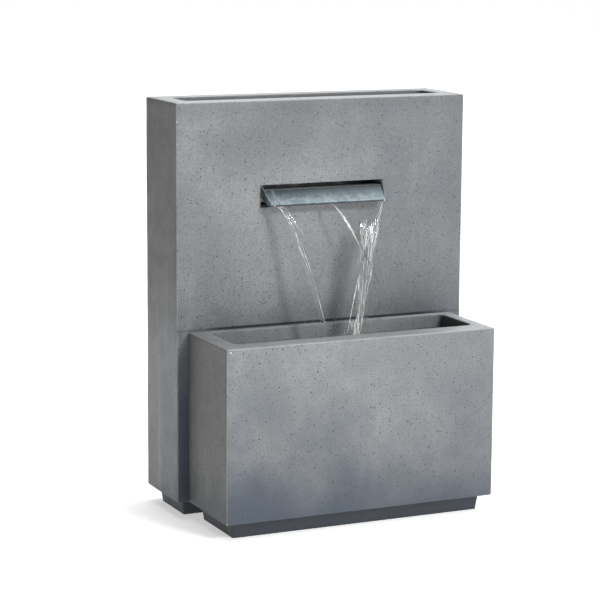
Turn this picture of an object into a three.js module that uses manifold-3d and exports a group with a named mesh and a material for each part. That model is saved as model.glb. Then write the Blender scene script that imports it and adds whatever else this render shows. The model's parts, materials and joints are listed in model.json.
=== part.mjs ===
// Wall-style garden fountain: a cast tower and basin, a folded metal spout, and the pump,
// hoses and fittings that feed it. Millimetres, +Z up, +X to the right seen from the front,
// +Y to the back. The origin is under the middle of the fountain, on the ground.
import * as THREE from "three";
import { mergeVertices } from "three/addons/utils/BufferGeometryUtils.js";
import Module from "manifold-3d";

const wasm = await Module();
wasm.setup();

// ---- Driving dimensions ----
const GAP = 0.3; // clearance kept between pieces that touch
const CUT = 2; // how far a cutting solid runs past the face that it cuts

const TOWER = { width: 600, depth: 155, height: 784 };
const TOWER_WALL = { side: 22, front: 22, back: 20 };
const TOWER_RIM = { left: 35, right: 34, front: 40, back: 36, height: 34, slope: 12 };
const BASIN = { left: -278, right: 274, depth: 185, height: 357 };
const BASIN_WALL = { side: 22, front: 24, back: 15 };
const BASIN_RIM = { left: 35, right: 25, front: 44, height: 30, slope: 12 };
const PLINTH = { height: 30.5, inset: 18, taper: 4 };
const FLOOR_TOP = 50; // top of the cast floor in both castings
const EDGE = 3; // rounding of the outer edges
const CORNER = 3.5; // radius of the outer vertical corners
const INNER_CORNER = 12; // radius of the inner vertical corners
const JOINT_HALF = 250; // half the width of the plinth block that fills the recess at the joint
const JOINT_Y = BASIN.depth - (BASIN.depth + TOWER.depth) / 2; // plane where the castings meet

const SLOT = { left: -131, right: 126, bottom: 583.3, top: 625.5 };
const SPOUT = { left: -129.5, right: 124.5, crest: 615.5, lip: 592.5, reach: 30, hem: 4.5, sheet: 2 };
const SPOUT_TAPER = 7; // how much narrower each side of the lip is than the tray
const CHEEK = { bottom: SLOT.bottom + 1, top: SLOT.top - 1.5, depth: 14 }; // the spout's sides inside the slot
const BOX = { half: 150, back: 98, bottom: 560, top: 650, sheet: 2 };
const BOX_EAR = { width: 22, bottom: 576, top: 640 };
const BOX_SCREW = { head: 4.5, headHeight: 2.6, shank: 2, depth: 14, zs: [590, 626] };
const LID = { skirt: 8, sheet: 1.5, knob: 7, knobHeight: 12 };

const HOSE = { inner: 6.5, outer: 8.5 };
const BARB = { radius: 6, bore: 4.5, length: 20 };
const COLLAR = { radius: 9, length: 18 };
const BULKHEAD = { x: 36, z: 250, thread: 13, bore: 8, flange: 21, flangeThick: 5, hole: 14 };
const BULKHEAD_NUT = { radius: 19, thick: 8 };
const ELBOW = { socket: 16.5, socketBore: 13.6, socketDepth: 14, body: 12, arm: 20, end: 30 };
const SEAL_THICK = 2.4;
const WASHER_THICK = 1.6;
const INLET = { x: 0, y: 60, thread: 8, flange: 14, flangeThick: 3, nut: 12, nutThick: 7, collar: 5 };
const BAND = { inner: 9, outer: 9.9, height: 9, screw: 2.2, screwHead: 3.6, fromEnd: 9 };

const TIE = { xs: [-190, 205], z: 215, shank: 4, hole: 4.5, head: 7.2, headHeight: 5.3, nutHeight: 6.5 };
const TIE_WASHER = 9;
const GLAND = {
  x: 110,
  z: 250,
  thread: 7.5,
  hole: 8,
  flange: 12,
  flangeThick: 6,
  nut: 12,
  nutThick: 5,
  bore: 3.4,
};
const GLAND_CAP = { radius: 9, length: 7 };
const GROMMET = { x: 110, z: 84, hole: 11, lip: 15, lipThick: 2.5, bore: 5 };
const DRAIN = { x: -185, y: -85, top: 12.5, bottom: 10.5, cap: 17, capHeight: 4, length: 28 };
const WEEP = { x: -185, radius: 8 };

const PUMP = { x: 30, y: -66, length: 66, half: 27, bottom: 4, top: 54, axis: 29 };
const CHAMBER = { radius: 20, depth: 12 };
const WELL = { radius: 11.5, depth: 52 };
const OUTLET = { x: 6, y: 12, radius: 6.5, boss: 10, bossTop: 62, collar: 4 };
const SHAFT = { radius: 1.5, bore: 1.6, start: -4.6, end: 51.4 };
const IMPELLER = { radius: 17.5, disc: 1.5, start: 3, end: 10.6, hub: 5, blades: 6 };
const MAGNET = { radius: 10.6, start: 13, end: 47 };
const COVER = { radius: 22.3, start: -5.2, end: -2.2, intake: 13, hub: 4.6, bushHole: 3.3 };
const STRAINER = { start: -36, wall: 2, slots: 6, pitch: 7.4, sideSlots: 4, sidePitch: 7, slotWidth: 2.6 };
const FOOT = { radius: 7.5, neck: 3.6, pin: 1.7, height: 4, inset: 11 };
const PUMP_GLAND = { hole: 4.5, z: 37, flange: 6.5, bore: 2.8, reach: 12 };
const KNOB = { z: 49.5, radius: 8, thick: 6, stem: 2.2, hole: 2.5 };

const LOOKS = {
  casting: { color: 0x8b9093, roughness: 0.85, metalness: 0 },
  zinc: { color: 0x8296a0, roughness: 0.35, metalness: 1 },
  steel: { color: 0xb4b8bc, roughness: 0.3, metalness: 1 },
  black: { color: 0x1d1f21, roughness: 0.45, metalness: 0 },
  rubber: { color: 0x17181a, roughness: 0.8, metalness: 0 },
  vinyl: { color: 0x3b4144, roughness: 0.4, metalness: 0 },
  white: { color: 0xe6e6e0, roughness: 0.35, metalness: 0 },
  ferrite: { color: 0x3a3a3d, roughness: 0.5, metalness: 0.3 },
  ceramic: { color: 0xf0eee8, roughness: 0.2, metalness: 0 },
};

// ---- Solids: closed bodies that can be joined and cut ----
function solid(geometry) {
  const bare = geometry.index ? geometry.toNonIndexed() : geometry.clone();
  bare.deleteAttribute("normal");
  bare.deleteAttribute("uv");
  const merged = mergeVertices(bare, 1e-4);
  const index = Uint32Array.from(merged.index.array);
  const kept = [];
  for (let i = 0; i < index.length; i += 3) {
    const [a, b, c] = [index[i], index[i + 1], index[i + 2]];
    if (a !== b && b !== c && c !== a) {
      kept.push(a, b, c);
    }
  }
  const vertProperties = Float32Array.from(merged.attributes.position.array);
  const body = build(vertProperties, kept);
  return body.volume() > 0 ? body : build(vertProperties, kept.slice().reverse());
}

function build(vertProperties, triangles) {
  const mesh = new wasm.Mesh({ numProp: 3, vertProperties, triVerts: Uint32Array.from(triangles) });
  return new wasm.Manifold(mesh);
}

function joined(first, ...others) {
  return others.reduce((sum, next) => sum.add(next), first);
}

function cut(first, ...others) {
  return others.reduce((rest, next) => rest.subtract(next), first);
}

// A cylinder along one axis, from one end to the other of that axis.
function rod(axis, radius, from, to, at, segments = 20, endRadius = radius) {
  const geometry = new THREE.CylinderGeometry(endRadius, radius, to - from, segments);
  const middle = (from + to) / 2;
  if (axis === "x") {
    geometry.rotateZ(-Math.PI / 2);
    return solid(geometry.translate(middle, at[0], at[1]));
  }
  if (axis === "z") {
    geometry.rotateX(Math.PI / 2);
    return solid(geometry.translate(at[0], at[1], middle));
  }
  return solid(geometry.translate(at[0], middle, at[1]));
}

function block(x0, x1, y0, y1, z0, z1) {
  const geometry = new THREE.BoxGeometry(x1 - x0, y1 - y0, z1 - z0);
  return solid(geometry.translate((x0 + x1) / 2, (y0 + y1) / 2, (z0 + z1) / 2));
}

// The outline of a rectangle with round corners, anticlockwise from above.
function roundedOutline({ x0, x1, y0, y1, radius }, steps) {
  const corners = [
    [x1 - radius, y1 - radius],
    [x0 + radius, y1 - radius],
    [x0 + radius, y0 + radius],
    [x1 - radius, y0 + radius],
  ];
  const points = [];
  corners.forEach(([cx, cy], corner) => {
    for (let step = 0; step <= steps; step += 1) {
      const angle = (corner + step / steps) * (Math.PI / 2);
      points.push([cx + radius * Math.cos(angle), cy + radius * Math.sin(angle)]);
    }
  });
  return points;
}

// A closed body through a stack of rounded rectangles, each at its own height z.
function loft(levels, steps = 4) {
  const rings = levels.map((level) => roundedOutline(level, steps).map(([x, y]) => [x, y, level.z]));
  const count = rings[0].length;
  const positions = rings.flat(2);
  const index = [];
  for (let ring = 0; ring < rings.length - 1; ring += 1) {
    for (let i = 0; i < count; i += 1) {
      const next = (i + 1) % count;
      const [a, b] = [ring * count + i, ring * count + next];
      index.push(a, b, b + count, a, b + count, a + count);
    }
  }
  const last = (rings.length - 1) * count;
  for (let i = 1; i < count - 1; i += 1) {
    index.push(0, i + 1, i, last, last + i, last + i + 1);
  }
  const geometry = new THREE.BufferGeometry();
  geometry.setAttribute("position", new THREE.Float32BufferAttribute(positions, 3));
  geometry.setIndex(index);
  return solid(geometry);
}

function level(z, box, inset, radius) {
  return {
    z,
    x0: box.x0 + inset,
    x1: box.x1 - inset,
    y0: box.y0 + inset,
    y1: box.y1 - inset,
    radius,
  };
}

// A flat outline in the plane across X, as a plate from one x to another.
function plateAcross(outline, x0, x1) {
  const shape = new THREE.Shape(outline.map(([y, z]) => new THREE.Vector2(y, z)));
  const geometry = new THREE.ExtrudeGeometry(shape, { depth: x1 - x0, bevelEnabled: false });
  geometry.applyMatrix4(new THREE.Matrix4().set(0, 0, 1, x0, 1, 0, 0, 0, 0, 1, 0, 0, 0, 0, 0, 1));
  return solid(geometry);
}

// A turned body from pairs of radius and distance along the axis.
function turned(axis, profile, at, segments = 16) {
  const points = profile.map(([radius, along]) => new THREE.Vector2(radius, along));
  points.push(points[0].clone());
  const geometry = new THREE.LatheGeometry(points, segments);
  if (axis === "x") {
    geometry.rotateZ(-Math.PI / 2);
    return solid(geometry.translate(0, at[0], at[1]));
  }
  if (axis === "z") {
    geometry.rotateX(Math.PI / 2);
    return solid(geometry.translate(at[0], at[1], 0));
  }
  return solid(geometry.translate(at[0], 0, at[1]));
}

function ring(axis, inner, outer, from, to, at, segments = 16) {
  return turned(axis, [[inner, from], [outer, from], [outer, to], [inner, to]], at, segments);
}

function hexNut(axis, bore, radius, from, to, at) {
  return cut(rod(axis, radius, from, to, at, 6), rod(axis, bore, from - CUT, to + CUT, at, 16));
}

// ---- Castings ----
const towerBox = { x0: -TOWER.width / 2, x1: TOWER.width / 2, y0: GAP / 2, y1: TOWER.depth };
const basinBox = { x0: BASIN.left, x1: BASIN.right, y0: -BASIN.depth, y1: -GAP / 2 };

function castBody(box, height) {
  return loft([
    level(0, box, PLINTH.inset + PLINTH.taper, CORNER),
    level(PLINTH.height, box, PLINTH.inset, CORNER),
    level(PLINTH.height, box, EDGE * 0.6, CORNER),
    level(PLINTH.height + EDGE * 0.6, box, 0, CORNER),
    level(height - EDGE, box, 0, CORNER),
    level(height - EDGE * 0.3, box, EDGE * 0.3, CORNER),
    level(height, box, EDGE, CORNER),
  ]);
}

// The hollow of a casting: wide behind its walls, narrower at the rim, with a sloped step between.
function hollow(wide, mouth, height, rim) {
  const rimBottom = height - rim.height;
  return loft([
    { z: FLOOR_TOP, ...wide, radius: INNER_CORNER },
    { z: rimBottom - rim.slope, ...wide, radius: INNER_CORNER },
    { z: rimBottom, ...mouth, radius: INNER_CORNER },
    { z: height - EDGE * 0.6, ...mouth, radius: INNER_CORNER },
    { z: height + EDGE * 0.6, ...grown(mouth, EDGE), radius: INNER_CORNER },
  ]);
}

function grown(box, by) {
  return { x0: box.x0 - by, x1: box.x1 + by, y0: box.y0 - by, y1: box.y1 + by };
}

const wallRods = [
  { x: BULKHEAD.x, z: BULKHEAD.z, radius: BULKHEAD.hole },
  { x: GLAND.x, z: GLAND.z, radius: GLAND.hole },
  ...TIE.xs.map((x) => ({ x, z: TIE.z, radius: TIE.hole })),
];

function wallHoles() {
  const [from, to] = [-BASIN_WALL.back - CUT, TOWER_WALL.front + CUT];
  return wallRods.map(({ x, z, radius }) => rod("y", radius, from, to, [x, z], 16));
}

function boxScrewPlaces() {
  const x = BOX.half + BOX_EAR.width / 2 + 1;
  return [-x, x].flatMap((side) => BOX_SCREW.zs.map((z) => ({ x: side, z })));
}

// The plinths aren't set back where the two castings meet, so that one closes against the other.
function jointBlock(y0, y1) {
  return block(-JOINT_HALF, JOINT_HALF, y0, y1, 0, PLINTH.height + CUT);
}

function towerCasing() {
  const body = castBody(towerBox, TOWER.height);
  const behindBasin = jointBlock(towerBox.y0, PLINTH.inset + PLINTH.taper + CUT);
  const wide = {
    x0: towerBox.x0 + TOWER_WALL.side,
    x1: towerBox.x1 - TOWER_WALL.side,
    y0: TOWER_WALL.front,
    y1: TOWER.depth - TOWER_WALL.back,
  };
  const mouth = {
    x0: towerBox.x0 + TOWER_RIM.left,
    x1: towerBox.x1 - TOWER_RIM.right,
    y0: TOWER_RIM.front,
    y1: TOWER.depth - TOWER_RIM.back,
  };
  const slot = block(SLOT.left, SLOT.right, -CUT, TOWER_WALL.front + CUT, SLOT.bottom, SLOT.top);
  const screwHoles = boxScrewPlaces().map(({ x, z }) =>
    rod("y", BOX_SCREW.shank + GAP, TOWER_WALL.front - BOX_SCREW.depth, TOWER_WALL.front + CUT, [x, z], 12),
  );
  const weep = rod("z", WEEP.radius, -CUT, FLOOR_TOP + CUT, [WEEP.x, TOWER.depth / 2], 20);
  const back = [TOWER.depth - TOWER_WALL.back - CUT, TOWER.depth + CUT];
  const cableHole = rod("y", GROMMET.hole, back[0], back[1], [GROMMET.x, GROMMET.z], 24);
  return cut(
    joined(body, behindBasin),
    hollow(wide, mouth, TOWER.height, TOWER_RIM),
    slot,
    weep,
    cableHole,
    ...screwHoles,
    ...wallHoles(),
  );
}

function basinCasing() {
  const body = castBody(basinBox, BASIN.height);
  const againstTower = jointBlock(-PLINTH.inset - PLINTH.taper - CUT, basinBox.y1);
  const wide = {
    x0: basinBox.x0 + BASIN_WALL.side,
    x1: basinBox.x1 - BASIN_WALL.side,
    y0: basinBox.y0 + BASIN_WALL.front,
    y1: -BASIN_WALL.back,
  };
  const mouth = {
    x0: basinBox.x0 + BASIN_RIM.left,
    x1: basinBox.x1 - BASIN_RIM.right,
    y0: basinBox.y0 + BASIN_RIM.front,
    y1: -BASIN_WALL.back,
  };
  const drain = joined(
    rod("z", DRAIN.bottom + GAP, -CUT, FLOOR_TOP - DRAIN.length, [DRAIN.x, DRAIN.y], 24),
    rod(
      "z",
      DRAIN.bottom + GAP,
      FLOOR_TOP - DRAIN.length - GAP,
      FLOOR_TOP + GAP,
      [DRAIN.x, DRAIN.y],
      24,
      DRAIN.top + GAP,
    ),
  );
  const inside = hollow(wide, mouth, BASIN.height, BASIN_RIM);
  return cut(joined(body, againstTower), inside, drain, ...wallHoles());
}

// ---- Spout and weir box ----
const trayEnd = TOWER_WALL.front + BOX.sheet + 4;

// The top face of the spout's plate: level behind the crest, then sloping down to the lip.
function plateOutline() {
  const { crest, lip, reach, hem, sheet } = SPOUT;
  const bend = 4;
  const slope = (crest - lip) / reach;
  return [
    [trayEnd, crest - sheet],
    [trayEnd, crest],
    [bend * 0.5, crest],
    [-bend * 0.3, crest - bend * 0.3 * slope * 0.6],
    [-bend, crest - bend * slope],
    [-reach, lip],
    [-reach, lip - hem],
    [-reach + sheet, lip - hem],
    [-reach + sheet, lip - sheet * 0.6],
    [-bend, crest - bend * slope - sheet * 1.25],
    [0, crest - sheet],
  ];
}

// A side of the spout: full height at the box's window, then a straight-edged wedge down to the lip.
function cheekOutline() {
  const { crest, lip, reach, hem, sheet } = SPOUT;
  const { bottom, top, depth } = CHEEK;
  const windowFace = TOWER_WALL.front - GAP;
  return [
    [trayEnd, bottom],
    [trayEnd, top],
    [0, top],
    [-reach + sheet, lip + 2.5],
    [-reach, lip],
    [-reach, lip - hem],
    [-reach * 0.8, lip - hem - 1],
    [0, crest - depth],
    [windowFace, crest - depth],
    [windowFace, bottom],
  ];
}

// Leans a body's sides inwards as it runs forward, so that the lip is narrower than the tray.
function narrowed(body) {
  const middle = (SPOUT.left + SPOUT.right) / 2;
  const half = (SPOUT.right - SPOUT.left) / 2;
  return body.warp((v) => {
    const forward = Math.max(0, -v[1]) / SPOUT.reach;
    v[0] = middle + (v[0] - middle) * (1 - (forward * SPOUT_TAPER) / half);
  });
}

function spoutChute() {
  const { left, right, sheet } = SPOUT;
  const plate = plateAcross(plateOutline(), left, right);
  const cheeks = [left, right - sheet].map((x) => plateAcross(cheekOutline(), x, x + sheet));
  return narrowed(joined(plate, ...cheeks));
}

const boxFront = TOWER_WALL.front + GAP;

function weirBox() {
  const { half, back, bottom, top, sheet } = BOX;
  const outer = block(-half, half, boxFront, back, bottom, top);
  const innerHalf = half - sheet;
  const inner = block(-innerHalf, innerHalf, boxFront + sheet, back - sheet, bottom + sheet, top + CUT);
  const window = block(
    SPOUT.left - GAP,
    SPOUT.right + GAP,
    boxFront - CUT,
    boxFront + sheet + CUT,
    CHEEK.bottom - GAP,
    CHEEK.top + GAP,
  );
  const ears = [-1, 1].map((side) => {
    const xs = [side * (half - 1), side * (half + BOX_EAR.width)].sort((a, b) => a - b);
    return block(xs[0], xs[1], boxFront, boxFront + sheet, BOX_EAR.bottom, BOX_EAR.top);
  });
  const holes = boxScrewPlaces().map(({ x, z }) =>
    rod("y", BOX_SCREW.shank + GAP, boxFront - CUT, boxFront + sheet + CUT, [x, z], 12),
  );
  const inlet = rod("z", INLET.thread + GAP, bottom - CUT, bottom + sheet + CUT, [INLET.x, INLET.y], 24);
  return cut(joined(outer, ...ears), inner, window, inlet, ...holes);
}

// The strip that closes the window under the tray, so that the box fills up to the crest.
function trayApron() {
  const { left, right, sheet, crest } = SPOUT;
  const outline = [
    [trayEnd - sheet, CHEEK.bottom + GAP],
    [trayEnd, CHEEK.bottom + GAP],
    [trayEnd, crest - sheet + 0.5],
    [trayEnd - sheet, crest - sheet + 0.5],
  ];
  return plateAcross(outline, left + 0.5, right - 0.5);
}

function weirLid() {
  const { half, back, top } = BOX;
  const { skirt, sheet, knob, knobHeight } = LID;
  const reach = sheet + GAP;
  const shell = cut(
    block(-half - reach, half + reach, boxFront, back + reach, top - skirt, top + GAP + sheet),
    block(-half - GAP, half + GAP, boxFront - CUT, back + GAP, top - skirt - CUT, top + GAP),
  );
  const middle = (boxFront + back) / 2;
  const handle = turned(
    "z",
    [
      [0, 0],
      [knob * 0.6, 0],
      [knob * 0.5, knobHeight * 0.5],
      [knob, knobHeight * 0.75],
      [knob * 0.8, knobHeight],
      [0, knobHeight],
    ].map(([radius, along]) => [radius, along + top + sheet]),
    [0, middle],
    20,
  );
  return joined(shell, handle);
}

function boxScrew({ x, z }) {
  const face = boxFront + BOX.sheet + GAP;
  const { head, headHeight, shank, depth } = BOX_SCREW;
  const tip = TOWER_WALL.front - depth + GAP;
  return turned(
    "y",
    [
      [0, tip],
      [shank * 0.5, tip],
      [shank, tip + 3],
      [shank, face],
      [head, face],
      [head, face + 1],
      [head * 0.6, face + headHeight],
      [0, face + headHeight],
    ],
    [x, z],
    12,
  );
}

function weirInlet() {
  const top = BOX.bottom + BOX.sheet + GAP;
  const nutBottom = BOX.bottom - GAP * 2 - SEAL_THICK - INLET.nutThick;
  const collarBottom = nutBottom - INLET.collar;
  const tip = collarBottom - BARB.length;
  return turned(
    "z",
    [
      [BARB.bore, tip],
      [BARB.radius - 0.8, tip],
      [BARB.radius, tip + 4],
      [BARB.radius, collarBottom],
      [INLET.thread, collarBottom],
      [INLET.thread, top],
      [INLET.flange, top],
      [INLET.flange, top + INLET.flangeThick],
      [BARB.bore, top + INLET.flangeThick],
    ],
    [INLET.x, INLET.y],
    16,
  );
}

const inletSealTop = BOX.bottom - GAP;
const inletNutTop = inletSealTop - SEAL_THICK - GAP;
const weirBarbTop = inletNutTop - INLET.nutThick - INLET.collar + GAP;
const inletAt = [INLET.x, INLET.y];

function downRing(inner, outer, top, thick, at) {
  return ring("z", inner, outer, top - thick, top, at);
}

// ---- Fittings through the walls ----
const sealFace = -BASIN_WALL.back - GAP;
const bulkheadAt = [BULKHEAD.x, BULKHEAD.z];
const bulkheadEnds = {
  front: sealFace - SEAL_THICK - GAP - BULKHEAD.flangeThick - ELBOW.socketDepth,
  back: TOWER_WALL.front + GAP + BULKHEAD_NUT.thick + GAP + ELBOW.socketDepth,
};

function bulkhead() {
  const { thread, bore, flange, flangeThick } = BULKHEAD;
  const flangeBack = sealFace - SEAL_THICK - GAP;
  const { front, back } = bulkheadEnds;
  return turned(
    "y",
    [
      [bore, front],
      [thread, front],
      [thread, flangeBack - flangeThick],
      [flange, flangeBack - flangeThick],
      [flange, flangeBack],
      [thread, flangeBack],
      [thread, back],
      [bore, back],
    ],
    bulkheadAt,
  );
}

// An elbow with its socket's mouth at y = 0, opening towards -Y, and its hose barb up along +Z.
function elbow() {
  const { socket, socketBore, socketDepth, body, arm, end } = ELBOW;
  const outside = joined(
    rod("y", socket, 0, socketDepth + 2, [0, 0], 16),
    rod("y", body, socketDepth, end, [0, 0], 16),
    rod("z", COLLAR.radius, 0, COLLAR.length, [0, arm], 16),
    rod("z", BARB.radius, COLLAR.length - 1, COLLAR.length + BARB.length, [0, arm], 12),
  );
  return cut(
    outside,
    rod("y", socketBore, -CUT, socketDepth, [0, 0], 16),
    rod("y", BULKHEAD.bore, socketDepth - 1, arm + 3, [0, 0], 12),
    rod("z", BARB.bore, 0, COLLAR.length + BARB.length + CUT, [0, arm], 12),
  );
}

function cableGland() {
  const { thread, flange, flangeThick, bore } = GLAND;
  const flangeBack = sealFace - SEAL_THICK - GAP;
  const capBack = flangeBack - flangeThick;
  const tip = TOWER_WALL.front + GAP + GLAND.nutThick + 4;
  return joined(
    ring("y", bore, thread, flangeBack - 1, tip, [GLAND.x, GLAND.z]),
    hexNut("y", bore, flange, capBack, flangeBack, [GLAND.x, GLAND.z]),
    ring("y", bore, GLAND_CAP.radius, capBack - GLAND_CAP.length, capBack + 0.5, [GLAND.x, GLAND.z]),
  );
}

function cableGrommet() {
  const { x, z, hole, lip, lipThick, bore } = GROMMET;
  const [inside, outside] = [TOWER.depth - TOWER_WALL.back - GAP, TOWER.depth + GAP];
  const neck = hole - GAP;
  return turned(
    "y",
    [
      [bore, inside - lipThick],
      [lip - 1, inside - lipThick],
      [lip, inside - 0.6],
      [lip, inside],
      [neck, inside],
      [neck, outside - 2],
      [bore, outside - 2],
    ],
    [x, z],
  );
}

function tieBolt(x) {
  const { shank, head, headHeight, nutHeight, z } = TIE;
  const face = sealFace - SEAL_THICK - GAP;
  const tip = TOWER_WALL.front + GAP * 2 + WASHER_THICK + nutHeight + 4;
  return joined(rod("y", shank, face - 1, tip, [x, z], 12), rod("y", head, face - headHeight, face, [x, z], 6));
}

function drainPlug() {
  const { x, y, top, bottom, cap, capHeight, length } = DRAIN;
  const face = FLOOR_TOP + GAP;
  const body = turned(
    "z",
    [
      [0, face - length],
      [bottom, face - length],
      [top, face],
      [cap, face],
      [cap, face + capHeight - 1],
      [cap - 1, face + capHeight],
      [0, face + capHeight],
    ],
    [x, y],
  );
  const grip = new THREE.TorusGeometry(7, 1.8, 6, 14);
  grip.rotateX(Math.PI / 2);
  return joined(body, solid(grip.translate(x, y, face + capHeight + 6)));
}

// ---- Hoses and clamps ----
// A hose that leaves straight up, drifts sideways, and arrives straight up.
class RisingHose extends THREE.Curve {
  constructor(from, to) {
    super();
    this.from = from;
    this.to = to;
  }

  getPoint(t, target = new THREE.Vector3()) {
    const straight = 0.12;
    const s = THREE.MathUtils.smootherstep(t, straight, 1 - straight);
    return target.set(
      THREE.MathUtils.lerp(this.from.x, this.to.x, s),
      THREE.MathUtils.lerp(this.from.y, this.to.y, s),
      THREE.MathUtils.lerp(this.from.z, this.to.z, t),
    );
  }
}

function circle(radius, segments) {
  const points = [];
  for (let i = 0; i < segments; i += 1) {
    const angle = (i / segments) * Math.PI * 2;
    points.push(new THREE.Vector2(radius * Math.cos(angle), radius * Math.sin(angle)));
  }
  return points;
}

function hose(from, to, steps) {
  const section = new THREE.Shape(circle(HOSE.outer, 12));
  section.holes.push(new THREE.Path(circle(HOSE.inner, 12)));
  const extrudePath = new RisingHose(from, to);
  return solid(new THREE.ExtrudeGeometry(section, { steps, extrudePath, bevelEnabled: false }));
}

function clampBand(at) {
  const { inner, outer, height } = BAND;
  const half = height / 2;
  const band = ring("z", inner, outer, -half, half, [0, 0], 20);
  const housing = block(-5, 5, outer - 0.6, outer + 6, -half + 0.5, half - 0.5);
  const screwHole = rod("x", BAND.screw + GAP, -5 - CUT, 5 + CUT, [outer + 3, 0], 8);
  return cut(joined(band, housing), screwHole).translate([at.x, at.y, at.z]);
}

function clampScrew(at) {
  const { outer, screw, screwHead } = BAND;
  const body = joined(
    rod("x", screw, -6, 6, [outer + 3, 0], 8),
    rod("x", screwHead, 5 + GAP, 9, [outer + 3, 0], 6),
  );
  const slit = block(8, 9 + CUT, outer + 2.6, outer + 3.4, -screwHead - 1, screwHead + 1);
  return cut(body, slit).translate([at.x, at.y, at.z]);
}

const hoseRoutes = {
  lower: {
    from: new THREE.Vector3(PUMP.x + OUTLET.x, PUMP.y + OUTLET.y, FLOOR_TOP + OUTLET.bossTop + OUTLET.collar + GAP),
    to: new THREE.Vector3(
      BULKHEAD.x,
      bulkheadEnds.front + ELBOW.socketDepth - ELBOW.arm,
      BULKHEAD.z - COLLAR.length - GAP,
    ),
    steps: 8,
  },
  upper: {
    from: new THREE.Vector3(
      BULKHEAD.x,
      bulkheadEnds.back - ELBOW.socketDepth + ELBOW.arm,
      BULKHEAD.z + COLLAR.length + GAP,
    ),
    to: new THREE.Vector3(INLET.x, INLET.y, weirBarbTop - GAP * 2),
    steps: 12,
  },
};

// ---- Pump, in its own frame: the rotor's axis along X, the intake at -X, the feet at z = 0 ----
const rotorAt = [0, PUMP.axis];

function pumpHousing() {
  const { length, half, bottom, top } = PUMP;
  const outside = loft([
    { z: bottom, x0: 1.5, x1: length - 1.5, y0: -half + 1.5, y1: half - 1.5, radius: 4 },
    { z: bottom + 1.5, x0: 0, x1: length, y0: -half, y1: half, radius: 5 },
    { z: top - 6, x0: 0, x1: length, y0: -half, y1: half, radius: 5 },
    { z: top - 2, x0: 0, x1: length - 4, y0: -half + 3, y1: half - 3, radius: 5 },
    { z: top, x0: 1, x1: length - 9, y0: -half + 8, y1: half - 8, radius: 5 },
  ]);
  const boss = rod("z", OUTLET.boss, top - 8, OUTLET.bossTop, [OUTLET.x + 5, OUTLET.y], 24);
  const hull = joined(outside, boss);
  return cut(
    hull,
    rod("x", CHAMBER.radius, -CUT, CHAMBER.depth, rotorAt, 24),
    rod("x", WELL.radius, CHAMBER.depth - 1, WELL.depth, rotorAt, 20),
    rod("z", OUTLET.radius, PUMP.axis, OUTLET.bossTop + CUT, [OUTLET.x, OUTLET.y], 16),
    rod("y", KNOB.hole, OUTLET.y, half + CUT, [OUTLET.x, KNOB.z], 12),
    rod("x", PUMP_GLAND.hole, length - 8, length + CUT, [0, PUMP_GLAND.z], 12),
    ...footPlaces().map((at) => rod("z", FOOT.pin + GAP, bottom - CUT, bottom + 3, at, 8)),
  );
}

function footPlaces() {
  const { length, half } = PUMP;
  return [FOOT.inset, length - FOOT.inset].flatMap((x) =>
    [-half + FOOT.inset, half - FOOT.inset].map((y) => [x, y]),
  );
}

function pumpFoot(at) {
  const { radius, neck, pin, height } = FOOT;
  return turned(
    "z",
    [
      [0, 0.8],
      [radius - 1.5, 0],
      [radius, 0],
      [neck, height - 1.6],
      [neck, height - GAP],
      [pin, height - GAP],
      [pin, height + 2.6],
      [0, height + 2.6],
    ],
    at,
    12,
  );
}

function pumpCableGland() {
  const { hole, z, flange, bore, reach } = PUMP_GLAND;
  const face = PUMP.length + GAP;
  const plug = hole - GAP;
  return turned(
    "x",
    [
      [0, face - 7.6],
      [plug, face - 7.6],
      [plug, face],
      [flange, face],
      [flange, face + 4],
      [plug + 0.4, face + reach],
      [bore, face + reach],
      [bore, face + 2],
      [0, face + 2],
    ],
    [0, z],
    12,
  );
}

function outletNozzle() {
  const { bossTop, radius, boss } = OUTLET;
  const collarTop = bossTop + OUTLET.collar;
  const tip = collarTop + BARB.length;
  return turned(
    "z",
    [
      [BARB.bore, bossTop - 7.5],
      [radius - GAP, bossTop - 7.5],
      [radius - GAP, bossTop + GAP],
      [boss - 1, bossTop + GAP],
      [boss - 1, collarTop],
      [BARB.radius, collarTop],
      [BARB.radius, tip - 4],
      [BARB.radius - 0.8, tip],
      [BARB.bore, tip],
    ],
    [OUTLET.x, OUTLET.y],
    16,
  );
}

function chamberCover() {
  const { radius, start, end, intake, hub, bushHole } = COVER;
  const rim = ring("x", intake, radius, start, end, rotorAt, 24);
  const spokes = [0, 1, 2].map((i) => {
    const spoke = block(start, end, -1.2, 1.2, 0, intake + 1);
    return spoke.rotate([i * 120, 0, 0]).translate([0, 0, PUMP.axis]);
  });
  const middle = rod("x", hub, start - 1, end, rotorAt, 16);
  return cut(joined(rim, middle, ...spokes), rod("x", bushHole, start - CUT - 1, end + CUT, rotorAt, 16));
}

function coverSeal() {
  const seal = new THREE.TorusGeometry(21.2, 0.8, 5, 20);
  seal.rotateY(Math.PI / 2);
  return solid(seal.translate(-1.1, 0, PUMP.axis));
}

function strainerCover() {
  const { start, wall, slots, pitch, sideSlots, sidePitch, slotWidth } = STRAINER;
  const { half, bottom, top } = PUMP;
  const shell = cut(
    block(start, -GAP, -half, half, bottom, top),
    block(start + wall, CUT, -half + wall, half - wall, bottom + wall, top - wall),
  );
  const cuts = [];
  for (let i = 0; i < slots; i += 1) {
    const y = (i - (slots - 1) / 2) * pitch;
    const [y0, y1] = [y - slotWidth / 2, y + slotWidth / 2];
    cuts.push(block(start - CUT, start + wall + CUT, y0, y1, bottom + 7, top - 9));
  }
  for (let i = 0; i < sideSlots; i += 1) {
    const x = start + sidePitch + i * sidePitch;
    cuts.push(block(x, x + slotWidth, -half - CUT, half + CUT, bottom + 8, top - 12));
  }
  return cut(shell, ...cuts);
}

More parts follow.
